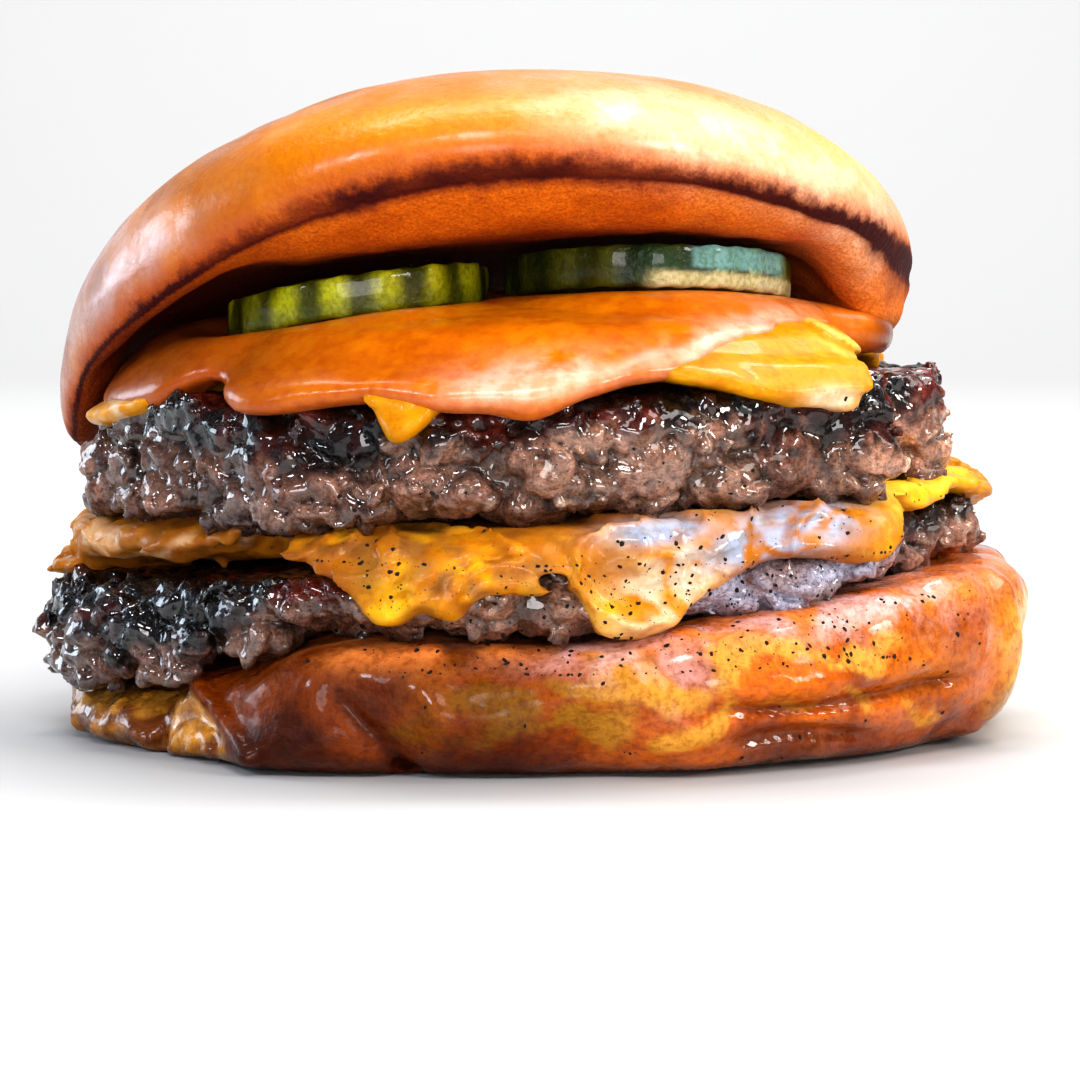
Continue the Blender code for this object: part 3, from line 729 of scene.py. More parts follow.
def make_cheese_upper(step, most):
    lo, hi = (np.array(c) * 1000 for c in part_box("cheese_upper"))
    box = Box(np.array([lo[0] - 3, lo[1] - 3, 32.0]), np.array([hi[0] + 3, hi[1] + 3, 54.0]), step)
    own = cad_distance("cheese_upper", box, 0.8)
    under = cad_distance("patty_upper", box, 2.0)
    crown = cad_distance("bun_crown", box, 1.0)
    index, p = box.where(np.minimum(own, under - 8.0) < 2.5)
    r, ang = polar(p, UPPER_C)
    x, z = p[:, 0], p[:, 2]
    body = mound(p, under[index], crown[index])
    edge = around(UPPER_EDGE, ang, 0.7) + 0.35 * fbm(p, 4.0, 2, 401)
    thick = 1.35 + 0.5 * fbm(p, 8.0, 2, 411) + 0.7 * np.exp(-(((z - edge - 1.3) / 1.2) ** 2))
    thick += lump(ang, -103.5, 3.4, 1.5)
    shell = under[index] - swell_of(p, 7) - thick + 4.0 * smooth(42.0, 37.0, r)
    shell = smooth_max(shell, z - upper_top(p) - 1.9, 1.2)
    form = smooth_min(smooth_max(own[index], upper_top(p) - 1.0 - z, 1.0), shell, 0.9)
    # it lies inside the sauce wherever the sauce covers it
    sauce = around(SAUCE_EDGE, ang, 1.3)
    form = smooth_max(form, body + 0.6 - 9.0 * smooth(sauce + 1.6, sauce + 0.2, z), 0.6)
    # bare at the right, where it fills the whole slope up to the sauce
    bare = smooth(-78.0, -69.0, ang) * smooth(-24.0, -33.0, ang)
    slope = body + 0.65 + 7.0 * (1 - bare)
    rib = np.cos((z + 0.55 * x - 2.0) * (2 * np.pi / 1.75))
    slope -= (0.4 + 0.45 * rib) * np.exp(-(((ang + 40.0) / 4.5) ** 2)) * smooth(43.6, 45.0, z) * smooth(40, 45, r)
    form = smooth_min(form, slope, 1.0)
    lobe = smooth(-37.0, -34.5, ang) * smooth(34.0, 24.0, ang)
    form = smooth_max(form, r - upper_rim(ang) + 7.0 * lobe - 8.0 * (1 - lobe), 1.0)
    form = rounded_rim(form, edge, z, 1.5)
    field = np.full(tuple(box.n), 3.0, F)
    field[index] = form
    obj = skin("cheese_upper_melt", box, field)
    slim(obj, most)
    return obj


def colour_cheese_upper(obj):
    p = points_of(obj)
    r, ang = polar(p, UPPER_C)
    z = p[:, 2]
    soft, fine = fbm(p, 9.0, 3, 445), fbm(p, 2.0, 3, 447)
    edge = around(UPPER_EDGE, ang, 0.7)
    tint = blend(rgb(218, 148, 0), rgb(200, 128, 0), np.clip(0.3 + 1.2 * soft, 0, 1))
    tint = blend(tint, rgb(222, 160, 10), 0.5 * np.exp(-(((z - edge - 0.7) / 0.7) ** 2)) * smooth(-0.1, 0.4, soft + fine))
    tint = blend(tint, rgb(255, 222, 120), 0.6 * np.exp(-(((ang + 40.0) / 4.5) ** 2)) * smooth(43.8, 45.0, z) * smooth(-0.3, 0.5, np.cos((z + 0.55 * p[:, 0] - 2.0) * (2 * np.pi / 1.75))))
    tint = blend(tint, rgb(248, 226, 196), 0.85 * np.clip(1.4 * blob(p, 31.5, 40.3, 2.6, 1.2), 0, 1))
    tint = blend(tint, rgb(214, 190, 160), 0.75 * smooth(-38, -42, p[:, 0]) * smooth(-0.2, 0.2, fine + soft + 0.1))
    paint(obj, "tint", tint)
    keep(obj, "milk", 0.0 * z)
    return obj


def make_sauce(step, most):
    lo, hi = (np.array(c) * 1000 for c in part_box("sauce"))
    box = Box(np.array([lo[0] - 3, lo[1] - 3, 35.0]), hi + 4, step)
    under = cad_distance("patty_upper", box, 2.0)
    crown = cad_distance("bun_crown", box, 1.0)
    index, p = box.where(under < 11.5)
    r, ang = polar(p, UPPER_C)
    rim = upper_rim(ang)
    form = mound(p, under[index], crown[index])
    edge = around(SAUCE_EDGE, ang, 1.3) + 0.25 * fbm(p, 6.0, 2, 501)
    floor = np.maximum(edge, (upper_top(p) + 1.3) - 8.0 * smooth(rim - 6.0, rim - 3.0, r))
    # it ends short of the lobe at the right
    short = smooth(-46.0, -34.0, ang) * smooth(34.0, 22.0, ang)
    form = smooth_max(form, r - rim + 5.5 * short - 8.0 * (1 - short), 2.0)
    form = rounded_rim(form, floor, p[:, 2], 2.8)
    field = np.full(tuple(box.n), 3.0, F)
    field[index] = form
    obj = skin("sauce_flow", box, field)
    slim(obj, most)
    return obj


def colour_sauce(obj):
    p = points_of(obj)
    r, ang = polar(p, UPPER_C)
    z = p[:, 2]
    soft, fine = fbm(p, 12.0, 3, 545), fbm(p, 2.5, 3, 547)
    edge = around(SAUCE_EDGE, ang, 1.3)
    tint = blend(rgb(220, 120, 0), rgb(200, 102, 0), np.clip(0.4 + 1.4 * soft, 0, 1))
    tint = blend(tint, rgb(228, 132, 4), 0.5 * smooth(0.05, 0.4, fine))
    # painted highlights on the front of the sauce
    gleam = blob(p, -1.0, 42.8, 8.0, 2.0, 7) + 1.2 * blob(p, 21.5, 46.6, 6.5, 2.1, 16)
    gleam = np.clip(1.5 * gleam, 0, 1) * smooth(-0.30, 0.10, fbm(p, 3.0, 4, 549) + 0.10 + 0.3 * gleam)
    tint = blend(tint, rgb(250, 196, 176), 0.80 * gleam)
    # painted shade: darker towards the left
    tint = blend(tint, rgb(142, 70, 14), 0.85 * smooth(-10, -42, p[:, 0]))
    tint = blend(tint, rgb(190, 86, 22), 0.5 * smooth(2.2, 0.3, z - edge))
    # painted shade under the crown's right end
    tint = blend(tint, rgb(96, 34, 10), 0.85 * smooth(35.5, 41.0, p[:, 0]) * smooth(12, -4, p[:, 1]))
    paint(obj, "tint", tint)
    keep(obj, "milk", 0.0 * z)
    return obj


def melt_material(name, rough, coat, coat_ior, coat_rough, sub, radius, speckle):
    mat, t, s = new_material(name)
    mm = object_mm(t)
    tint, milk = attribute(t, "tint", True), attribute(t, "milk")
    mottle, fine = noise(t, mm, 0.55, 3.0, 0.6), noise(t, mm, 3.0, 3.0, 0.6)
    colour = mix_colour(t, remap(t, mottle, 0.40, 0.68), tint, mix_colour(t, 1.0, tint, (0.86, 0.72, 0.55), "MULTIPLY"))
    if speckle:
        colour = mix_colour(t, remap(t, fine, 0.64, 0.70, 0.0, speckle), colour, (0.10, 0.035, 0.012))
    t.links.new(colour, s.inputs["Base Color"])
    patch = noise(t, mm, 0.30, 2.0, 0.5)
    value = remap(t, patch, 0.35, 0.65, rough - 0.07, rough + 0.07)
    value = maths(t, "SUBTRACT", value, maths(t, "MULTIPLY", milk, 0.12))
    t.links.new(value, s.inputs["Roughness"])
    t.links.new(maths(t, "ADD", maths(t, "MULTIPLY", milk, 0.55), coat), s.inputs["Coat Weight"])
    s.inputs["Coat Roughness"].default_value = coat_rough
    s.inputs["Coat IOR"].default_value = coat_ior
    s.inputs["Specular IOR Level"].default_value = 0.12
    s.inputs["Subsurface Weight"].default_value = sub
    s.inputs["Subsurface Radius"].default_value = radius
    s.inputs["Subsurface Scale"].default_value = 0.0012
    coarse = noise(t, mm, 0.45, 3.0, 0.55)
    bumps(t, s, [(coarse, 0.45, 0.5), (mottle, 0.20, 0.5), (fine, 0.05, 0.5)])
    return mat


# ====================================================================== bun
def around_ring(angle):
    return around([(-180 + 15 * k, v) for k, v in enumerate(RING)], angle, 3.0)


def crown_place(p, n):
    """Signed place across the browned ring: above 0 on the crust, below 0 on the cut face."""
    r, ang = polar(p, CROWN_C)
    a = np.radians(ang)
    rim = 50.4 * 48.6 / np.hypot(48.6 * np.cos(a), 50.4 * np.sin(a)) + lump(ang, -35, 22, 0.8) + lump(ang, 140, 24, 0.7)
    outer = smooth(0.925, 0.975, r / rim)
    return (p[:, 2] - around_ring(ang)) * outer + (1 - outer) * 14.0 * (n[:, 2] - 0.05), ang, r / rim


def make_crown(step, most):
    lo, hi = (np.array(c) * 1000 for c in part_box("bun_crown"))
    box = Box(lo - 2.5, hi + 2.5, step)
    field = cad_distance("bun_crown", box, 1.7)
    index, p = box.where(np.abs(field) < 4.5)
    r, ang = polar(p, CROWN_C)
    below = smooth(1.0, -2.0, p[:, 2] - around_ring(ang)) * smooth(20, 40, r)
    relief = 0.35 * fbm(p, 16.0, 2, 601) + 0.10 * fbm(p, 5.0, 2, 603)
    relief += below * (0.30 * fbm(p, 2.6, 3, 605) + 0.35 * fbm(p * np.array([1, 1, 2.0], F), 7.0, 2, 607))
    relief -= 0.35 * np.exp(-(((p[:, 2] - around_ring(ang)) / 0.9) ** 2)) * smooth(44, 47, r)
    relief += 3.0 * np.exp(-(((p[:, 0] - 42.0) / 7.5) ** 2 + ((p[:, 2] - 46.5) / 5.0) ** 2 + ((p[:, 1] + 6.0) / 22.0) ** 2))
    field[index] -= relief
    field -= 0.25
    obj = skin("bun_crown_crust", box, field)
    slim(obj, most)
    return obj


def colour_crown(obj):
    p, n = points_of(obj), normals_of(obj)
    place, ang, share = crown_place(p, n)
    x, y, z = p.T
    soft, fine = fbm(p, 18.0, 3, 645), fbm(p, 2.2, 3, 647)
    wisp = fbm(p * np.array([1, 1, 0.6], F), 7.0, 3, 649)
    place0 = place + 0.9 * soft
    place = place0 + 0.45 * fine
    gold, tan, honey = rgb(220, 128, 4), rgb(146, 78, 8), rgb(240, 162, 34)
    crust = blend(gold, tan, np.clip(0.9 * smooth(0, -44, x) + 0.6 * soft, 0, 1))
    crust = blend(crust, honey, np.clip(0.85 * smooth(4, 36, x) * smooth(52, 66, z + 0.16 * x) + 0.4 * wisp, 0, 1))
    crust = blend(crust, rgb(196, 96, 22), 0.75 * smooth(9.0, 1.5, place))
    crust = blend(crust, rgb(222, 132, 38), 0.35 * smooth(0.0, 0.4, wisp))
    face = blend(rgb(208, 104, 6), rgb(170, 70, 4), np.clip(0.45 + 1.2 * soft + 0.7 * fine, 0, 1))
    face = blend(face, rgb(222, 128, 18), 0.5 * smooth(0.1, 0.5, wisp + 0.5 * fine))
    # painted shade deep under the crown, on the inner cut face
    face = blend(face, rgb(96, 36, 12), 0.8 * smooth(-8.0, -15.0, place) * smooth(0.92, 0.80, share))
    # painted shade: the cut face darker towards the left
    face = blend(face, rgb(104, 34, 12), 0.75 * smooth(-18, -48, x))
    # painted light: the cut face lighter at the right front
    face = blend(face, rgb(232, 122, 18), 0.6 * smooth(26, 40, x) * smooth(2, -2, y))
    # painted shade: the crust darker where it faces straight up
    crust = crust * (1 - 0.30 * smooth(0.80, 0.97, n[:, 2]))[:, None]
    tint = blend(face, crust, smooth(-0.7, 0.9, place))
    # painted highlight: a broad pale patch on the upper right of the crust
    sheen = np.clip(1.3 * (blob(p, 17.0, 68.5, 15.0, 4.2, -14) + 0.8 * blob(p, 35.0, 60.5, 9.0, 4.5, -42)), 0, 1)
    crinkle = fbm(p + 1.5 * np.stack([fine, fine, fine], 1), 4.0, 4, 661)
    tint = blend(tint, rgb(250, 212, 178), 0.78 * sheen * (0.60 + 0.40 * smooth(-0.25, 0.25, crinkle)))
    # painted sheen: pale bluish patch low on the left of the crust
    cool = smooth(-32, -42, x) * smooth(64, 57, z) * smooth(2, 8, place) * smooth(14, 2, y)
    tint = blend(tint, rgb(202, 170, 168), 0.75 * cool * (0.45 + 0.55 * smooth(-0.25, 0.25, crinkle)))
    # painted shade under the crown's lower right end
    tint = blend(tint, rgb(46, 14, 8), 0.8 * np.clip(1.3 * blob(p, 40.5, 45.0, 4.5, 2.2), 0, 1))
    paint(obj, "tint", tint)
    keep(obj, "crust", smooth(1.5, 4.5, place))
    keep(obj, "place", np.clip(place0, -12, 12))
    keep(obj, "gloss", smooth(1.5, 4.5, place) * (1 - 0.85 * smooth(0.52, 0.82, n[:, 2])))
    keep(obj, "near", smooth(0.84, 0.93, share))
    keep(obj, "scorch", np.clip(0.55 + 1.1 * fbm(p, 14.0, 3, 655) + 0.25 * smooth(-10, -40, x) + 0.6 * smooth(12, 32, x), 0, 1))
    return obj


def make_heel(step, most):
    lo, hi = (np.array(c) * 1000 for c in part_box("bun_heel"))
    box = Box(lo - 2.5, hi + 2.5, step)
    field = cad_distance("bun_heel", box, 1.2)
    index, p = box.where(np.abs(field) < 3.6)
    x, y, z = p.T
    r, ang = polar(p, (0.6, 0.0))
    side = smooth(36, 44, r)
    relief = 0.9 * fbm(p, 15.0, 2, 701) + 0.30 * fbm(p, 5.0, 2, 703)
    front = smooth(4, -10, y)
    # the long crease and the grooves near the foot, at the right of the front
    line = 8.0 + 0.5 * np.sin(x / 6.0) + 0.02 * (x - 30)
    crease = np.exp(-(((z - line) / 0.75) ** 2)) * smooth(15, 24, x) * smooth(50, 43, x) * front
    relief -= 1.5 * crease
    relief += 0.8 * np.exp(-(((z - line - 2.4) / 1.6) ** 2)) * smooth(15, 24, x) * smooth(50, 43, x) * front
    low = 3.9 + 0.7 * np.sin(x / 4.0 + 1.0)
    relief -= 1.5 * np.exp(-(((z - low) / 0.9) ** 2)) * smooth(17, 22, x) * smooth(40, 33, x) * front
    relief += 1.0 * blob(p, 15.0, 4.5, 5.0, 2.6) + 0.9 * blob(p, -9.0, 6.5, 9.0, 2.6) + 0.9 * blob(p, 5.0, 9.0, 10, 2.4, 6)
    relief -= 0.9 * blob(p, -3.0, 12.6, 10.0, 1.6, 4)
    groove = x + 20.7 - 0.80 * (8.7 - z) + 1.0 * fbm(p, 5.0, 2, 711)
    relief -= 1.3 * np.exp(-((groove / 1.3) ** 2)) * smooth(11.0, 8.0, z) * front
    relief += 0.9 * blob(p, -11.0, 8.5, 2.6, 5.0) + 0.30 * fbm(p, 2.8, 3, 713) * front
    # the fold at the front left, with a recessed, soaked part behind it
    fold = -33.4 - 0.62 * z + 0.9 * np.sin(z / 2.0)
    behind = smooth(0.8, -0.8, x - fold) * smooth(-56, -48, x) * front * smooth(16, 13, z)
    relief -= 0.8 * behind * smooth(2.0, 6.0, z)
    relief += 1.5 * np.exp(-(((x - fold - 1.8) / 1.4) ** 2)) * front * smooth(15, 12, z)
    wrinkle = 0.9 * fbm(p, 3.4, 3, 705) + 0.8 * fbm(p * np.array([1, 1, 0.45], F), 2.2, 2, 707)
    relief += wrinkle * smooth(-30, -40, x) * front
    # puckers at the right end
    relief += 0.40 * np.sin(ang * 0.5 + 2.5 * fbm(p, 9.0, 2, 709)) * smooth(36, 48, x) * front
    relief *= side
    relief *= smooth(0.0, 1.6, z)  # the foot stays flat
    field[index] -= relief
    obj = skin("bun_heel_soaked", box, field)
    slim(obj, most)
    return obj


def colour_heel(obj):
    p, n = points_of(obj), normals_of(obj)
    x, y, z = p.T
    soft, fine = fbm(p, 12.0, 3, 745), fbm(p, 2.0, 3, 747)
    warp = np.stack([fbm(p, 8.0, 2, 741), fbm(p, 8.0, 2, 742), fbm(p, 8.0, 2, 743)], 1)
    q = p + 5.5 * warp + 0.9 * np.stack([fine, fine, fine], 1)
    run = fbm((p + 4.0 * warp) * np.array([1, 1, 0.45], F), 5.0, 3, 749)
    glaze, deep, bread = rgb(214, 106, 4), rgb(140, 56, 4), rgb(196, 140, 30)
    tint = blend(glaze, deep, np.clip(0.30 + 1.3 * soft + 0.8 * run, 0, 1))
    pale = np.zeros(len(p), F)
    for cx, cz, a, b, tilt, much in ((-9, 6.6, 9, 2.4, 0, 1.0), (7, 9.0, 10, 2.6, 10, 1.3), (2, 4.3, 8, 2.2, 6, 1.0),
                                     (26, 11.2, 8, 2.0, 6, 1.4), (33, 11.9, 5, 1.8, 0, 1.2), (16, 4.8, 6, 2.6, 20, 1.5),
                                     (31, 6.0, 7, 1.2, 0, 0.8), (42, 6.0, 3, 2.0, 0, 0.8)):
        pale = np.maximum(pale, much * blob(q, cx, cz, a, b, tilt))
    pale = np.clip(pale, 0, 1)
    tint = blend(tint, blend(bread, rgb(226, 162, 62), smooth(-5, 18, x)), 0.85 * smooth(0.40, 0.78, pale + 0.45 * run))
    tint = blend(tint, rgb(214, 120, 24), 0.8 * np.clip(1.2 * blob(q, 43, 12, 6, 5), 0, 1))
    # painted shade: dark patch at the lower front left, right of the fold
    tint = blend(tint, rgb(84, 28, 10), 0.85 * np.clip(1.4 * blob(q, -27.0, 5.0, 5.5, 5.5, -20), 0, 1))
    tint = blend(tint, rgb(216, 112, 28), 0.7 * blob(q, -31.0, 11.5, 6.0, 2.2))
    tint = blend(tint, rgb(104, 44, 20), 0.7 * np.clip(1.2 * blob(q, -8.0, 11.8, 9.0, 1.8), 0, 1))
    tint = blend(tint, rgb(224, 130, 30), 0.9 * np.clip(1.3 * np.maximum(blob(q, -5.0, 14.0, 5.0, 1.6), blob(q, -11.0, 8.0, 1.8, 6.0)), 0, 1))
    fold = -33.4 - 0.62 * z + 0.9 * np.sin(z / 2.0)
    # painted shade: the left and middle of the front darker
    dusk = smooth(16.0, -6.0, x) * smooth(6, -6, y)
    tint = tint * (1 - dusk[:, None] * np.array([0.68, 0.73, 0.88], F))
    behind = smooth(0.6, -0.8, x - fold) * smooth(6, -6, y)
    soaked = blend(rgb(214, 148, 48), rgb(112, 58, 20), np.clip(0.45 + 1.2 * fine + 0.8 * soft, 0, 1))
    soaked = blend(soaked, rgb(206, 148, 56), 0.6 * smooth(0.15, 0.5, run))
    tint = blend(tint, soaked, behind)
    rim_top = 15.4 + 0.055 * x + 0.0006 * x * x
    right = smooth(45.5, 54.0, x + 0.12 * y + 2.0 * fine) * smooth(32, 6, y)
    tint = blend(tint, rgb(232, 186, 80), 0.90 * right * smooth(-0.5, 0.1, run + 0.2) * smooth(19, 15, z))
    # painted sheen along the top edge at the right
    sheen = np.clip(1.7 * blob(q, 25.0, 16.4, 18.0, 2.8, 8) + 1.2 * blob(q, 9.0, 12.3, 4.5, 2.6, -30), 0, 1)
    sheen = sheen * smooth(-0.25, 0.10, fbm(p + 2.0 * warp, 3.2, 3, 751) + 0.05)
    tint = blend(tint, rgb(232, 184, 180), 0.80 * sheen)
    foam = np.exp(-(((z - rim_top - 0.3) / 0.9) ** 2)) * smooth(-20, -14, x) * smooth(14, 6, x) * smooth(-20, -30, y)
    tint = blend(tint, rgb(206, 152, 134), 0.7 * foam * smooth(-0.2, 0.2, fine + 0.1))
    groove = x + 20.7 - 0.80 * (8.7 - z) + 1.0 * fbm(p, 5.0, 2, 711)
    # painted shade in the groove
    tint = blend(tint, rgb(70, 26, 12), 0.7 * np.exp(-((groove / 1.1) ** 2)) * smooth(11.0, 8.0, z) * smooth(4, -10, y))
    line = 8.0 + 0.5 * np.sin(x / 6.0) + 0.02 * (x - 30)
    crease = np.exp(-(((z - line) / 0.6) ** 2)) * smooth(15, 24, x) * smooth(50, 43, x) * smooth(4, -10, y)
    # painted shade in the long crease
    tint = blend(tint, rgb(92, 36, 12), 0.7 * crease)
    # painted shade in the groove near the foot
    tint = blend(tint, rgb(96, 46, 20), 0.8 * np.clip(1.2 * blob(p, 27.5, 3.4, 8.0, 1.5), 0, 1))
    tint = blend(tint, rgb(84, 36, 14), 0.6 * smooth(2.4, 0.6, z + fine))
    tint = blend(tint, rgb(120, 60, 24), 0.6 * smooth(0.7, 0.95, n[:, 2]) * smooth(-4, 8, y))
    # painted light: a lighter orange band along the top edge at the left and middle
    lit = np.exp(-(((z - rim_top + 0.8) / 1.9) ** 2)) * smooth(-32, -20, x) * smooth(4, -8, y)
    tint = blend(tint, rgb(238, 140, 66), 0.85 * lit * smooth(-0.4, 0.2, run + 0.15) * (1 - 0.9 * sheen))
    paint(obj, "tint", tint)
    keep(obj, "bread", np.maximum(smooth(0.35, 0.75, pale), 0.80 * dusk) * (1 - behind))
    keep(obj, "soaked", np.maximum(behind, 0.8 * sheen))
    return obj


def crown_material():
    mat, t, s = new_material("bun_crust")
    mm = object_mm(t)
    tint, crust, gloss = attribute(t, "tint", True), attribute(t, "crust"), attribute(t, "gloss")
    fine, tiny, patch = noise(t, mm, 1.3, 4.0, 0.6), noise(t, mm, 3.0, 3.0, 0.6), noise(t, mm, 0.16, 3.0, 0.5)
    grainy = mix_colour(t, remap(t, tiny, 0.30, 0.75), mix_colour(t, 1.0, tint, (1.10, 1.10, 1.15), "MULTIPLY"),
                        mix_colour(t, 1.0, tint, (0.66, 0.56, 0.48), "MULTIPLY"))
    plain = mix_colour(t, remap(t, fine, 0.35, 0.75), tint, mix_colour(t, 1.0, tint, (0.88, 0.80, 0.70), "MULTIPLY"))
    colour = mix_colour(t, crust, grainy, plain)
    # the browned ring: a burnt line with a scorched band that fades down the cut face
    place, near, scorch = attribute(t, "place"), attribute(t, "near"), attribute(t, "scorch")
    ragged = maths(t, "ADD", maths(t, "MULTIPLY", maths(t, "SUBTRACT", noise(t, mm, 0.55, 4.0, 0.65), 0.5), 3.4), place)
    below = maths(t, "MULTIPLY", remap(t, ragged, -5.5, -0.4), remap(t, ragged, 1.0, -0.2))
    above = maths(t, "MULTIPLY", remap(t, ragged, 5.2, 0.8), remap(t, ragged, -0.6, 0.6))
    line = maths(t, "MULTIPLY", remap(t, ragged, -2.4, -0.6), remap(t, ragged, 3.0, 0.9))
    line = maths(t, "MULTIPLY", line, maths(t, "ADD", maths(t, "MULTIPLY", scorch, 0.65), 0.55))
    colour = mix_colour(t, maths(t, "MULTIPLY", maths(t, "MULTIPLY", below, near), 0.88), colour, rgb(98, 22, 5))
    colour = mix_colour(t, maths(t, "MULTIPLY", maths(t, "MULTIPLY", above, near), 0.72), colour, rgb(160, 56, 8))
    colour = mix_colour(t, maths(t, "MULTIPLY", line, near, True), colour, rgb(62, 9, 6))
    t.links.new(colour, s.inputs["Base Color"])
    rough = mix_value(t, crust, 0.65, remap(t, patch, 0.40, 0.62, 0.26, 0.44))
    t.links.new(rough, s.inputs["Roughness"])
    t.links.new(maths(t, "MULTIPLY", gloss, remap(t, noise(t, mm, 0.22, 4.0, 0.6), 0.38, 0.58, 0.12, 0.60)), s.inputs["Coat Weight"])
    s.inputs["Coat IOR"].default_value = 1.55
    s.inputs["Specular IOR Level"].default_value = 0.14
    s.inputs["Coat Roughness"].default_value = 0.24
    wrinkle = noise(t, mm, 0.60, 4.0, 0.55)
    rough_bump = maths(t, "MULTIPLY", fine, maths(t, "SUBTRACT", 1.6, maths(t, "MULTIPLY", crust, 1.35)))
    bumps(t, s, [(wrinkle, 0.40, 0.5), (rough_bump, 0.30, 0.8), (tiny, 0.05, 0.8)])
    return mat


def mix_value(tree, fac, a, b):
    """a where fac is 0, b where it is 1."""
    part = maths(tree, "MULTIPLY", fac, b)
    rest = maths(tree, "MULTIPLY", maths(tree, "SUBTRACT", 1.0, fac), a)
    return maths(tree, "ADD", part, rest)


def heel_material():
    mat, t, s = new_material("bun_glazed")
    mm = object_mm(t)
    tint, bread, soaked = attribute(t, "tint", True), attribute(t, "bread"), attribute(t, "soaked")
    fine, tiny, patch = noise(t, mm, 1.1, 4.0, 0.62), noise(t, mm, 3.2, 3.0, 0.6), noise(t, mm, 0.25, 3.0, 0.5)
    dark = mix_colour(t, 1.0, tint, (0.62, 0.50, 0.40), "MULTIPLY")
    colour = mix_colour(t, remap(t, fine, 0.38, 0.72), tint, dark)
    colour = mix_colour(t, remap(t, tiny, 0.68, 0.73, 0.0, 0.5), colour, (0.03, 0.012, 0.006))
    t.links.new(colour, s.inputs["Base Color"])
    rough = mix_value(t, bread, remap(t, patch, 0.38, 0.62, 0.20, 0.36), 0.46)
    rough = maths(t, "SUBTRACT", rough, maths(t, "MULTIPLY", soaked, 0.06))
    t.links.new(rough, s.inputs["Roughness"])
    gloss = remap(t, noise(t, mm, 0.32, 3.0, 0.6), 0.36, 0.60, 0.15, 0.85)
    t.links.new(maths(t, "MULTIPLY", gloss, maths(t, "SUBTRACT", 1.0, maths(t, "MULTIPLY", bread, 0.85))), s.inputs["Coat Weight"])
    s.inputs["Specular IOR Level"].default_value = 0.12
    s.inputs["Coat Roughness"].default_value = 0.10
    s.inputs["Coat IOR"].default_value = 1.5
    wrinkle = noise(t, mm, 0.50, 4.0, 0.55)
    bumps(t, s, [(wrinkle, 0.60, 0.7), (fine, 0.28, 0.8), (tiny, 0.06, 0.8)])
    return mat


# ====================================================================== pickles
def pickle_frame(node, p):
    cx, cy, z, radius, thick, right, back, ribs = PICKLES[node]
    r, ang = polar(p, (cx, cy))
    middle = z + right * (p[:, 0] - cx) + back * (p[:, 1] - cy) + thick / 2
    return r, ang, p[:, 2] - middle


def make_pickle(node, seed, step, most):
    cx, cy, z, radius, thick, right, back, ribs = PICKLES[node]
    lo, hi = (np.array(c) * 1000 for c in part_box(node))
    box = Box(lo - 1.5, hi + 1.5, step)
    index, p = box.where(np.ones(tuple(box.n), bool))
    r, ang, w = pickle_frame(node, p)
    turn = np.radians(ang)
    wave = np.cos(ribs * turn + 1.2 * value_noise(p, 9.0, seed))
    rim = radius - 0.30 + 0.15 * np.sign(wave) * np.abs(wave) ** 0.7 - 0.22 * (2 * w / thick) ** 2
    rim = rim + 0.20 * fbm(p, 3.0, 2, seed + 3)
    crinkle = 0.09 * np.cos((p[:, 0] * 0.96 + p[:, 1] * 0.28) * 2 * np.pi / 3.3)
    half = thick / 2 - 0.12 + crinkle * smooth(4.0, 9.0, r) + 0.12 * fbm(p, 4.0, 2, seed + 5)
    form = smooth_max(r - rim, np.abs(w) - half, 0.4)
    field = np.full(tuple(box.n), 3.0, F)
    field[index] = form
    obj = skin(node + "_slice", box, field)
    slim(obj, most)
    p = points_of(obj)
    r, ang, w = pickle_frame(node, p)
    turn = np.radians(ang)
    wave = np.cos(ribs * turn + 1.2 * value_noise(p, 9.0, seed))
    soft, fine = fbm(p, 6.0, 2, seed + 11), fbm(p * np.array([1, 1, 0.4], F), 1.6, 3, seed + 13)
    if node == "pickle_left":
        # lighter on the rib crests and darker between them: painted light and shade, mixed with random variation
        tint = blend(rgb(170, 172, 8), rgb(70, 74, 2), np.clip(0.42 - 0.75 * wave + 0.5 * soft + 0.4 * fine, 0, 1))
        # painted highlight on the rib crests
        tint = blend(tint, rgb(204, 206, 36), 0.7 * smooth(0.4, 0.95, wave) * smooth(-1.5, 2.2, w) * smooth(-32, -16, p[:, 0]))
        tint = blend(tint, rgb(48, 52, 10), 0.85 * smooth(-28, -34, p[:, 0]) * smooth(-0.4, 0.3, fine + 0.2 * wave + 0.1))
        tint = blend(tint, rgb(70, 78, 10), 0.6 * smooth(0.6, -2.2, w))
    else:
        tint = blend(rgb(86, 92, 18), rgb(36, 48, 14), np.clip(0.45 - 0.35 * wave + 1.1 * soft + 0.4 * fine, 0, 1))
        tint = blend(tint, rgb(34, 70, 34), 0.8 * np.clip(1.3 * blob(p, 13.5, 54.5, 3.0, 2.4, -40), 0, 1))
        # painted reflection: a pale teal patch on the right pickle's front
        patch = smooth(16.2, 17.4, p[:, 0]) * smooth(27.8, 26.8, p[:, 0]) * smooth(4, -8, p[:, 1])
        tint = blend(tint, rgb(122, 172, 172), 0.9 * patch * smooth(-0.55, 0.0, w + 0.25 * fine))
        tint = blend(tint, rgb(208, 196, 150), 0.9 * smooth(10.5, 13.5, p[:, 0]) * smooth(4, -8, p[:, 1]) * smooth(-0.35, -0.9, w - 0.2 * fine) * smooth(-0.6, 0.0, fine + 0.3))
    tint = blend(tint, rgb(150, 158, 70), 0.55 * smooth(radius - 1.6, radius - 3.0, r))
    paint(obj, "tint", tint)
    return obj


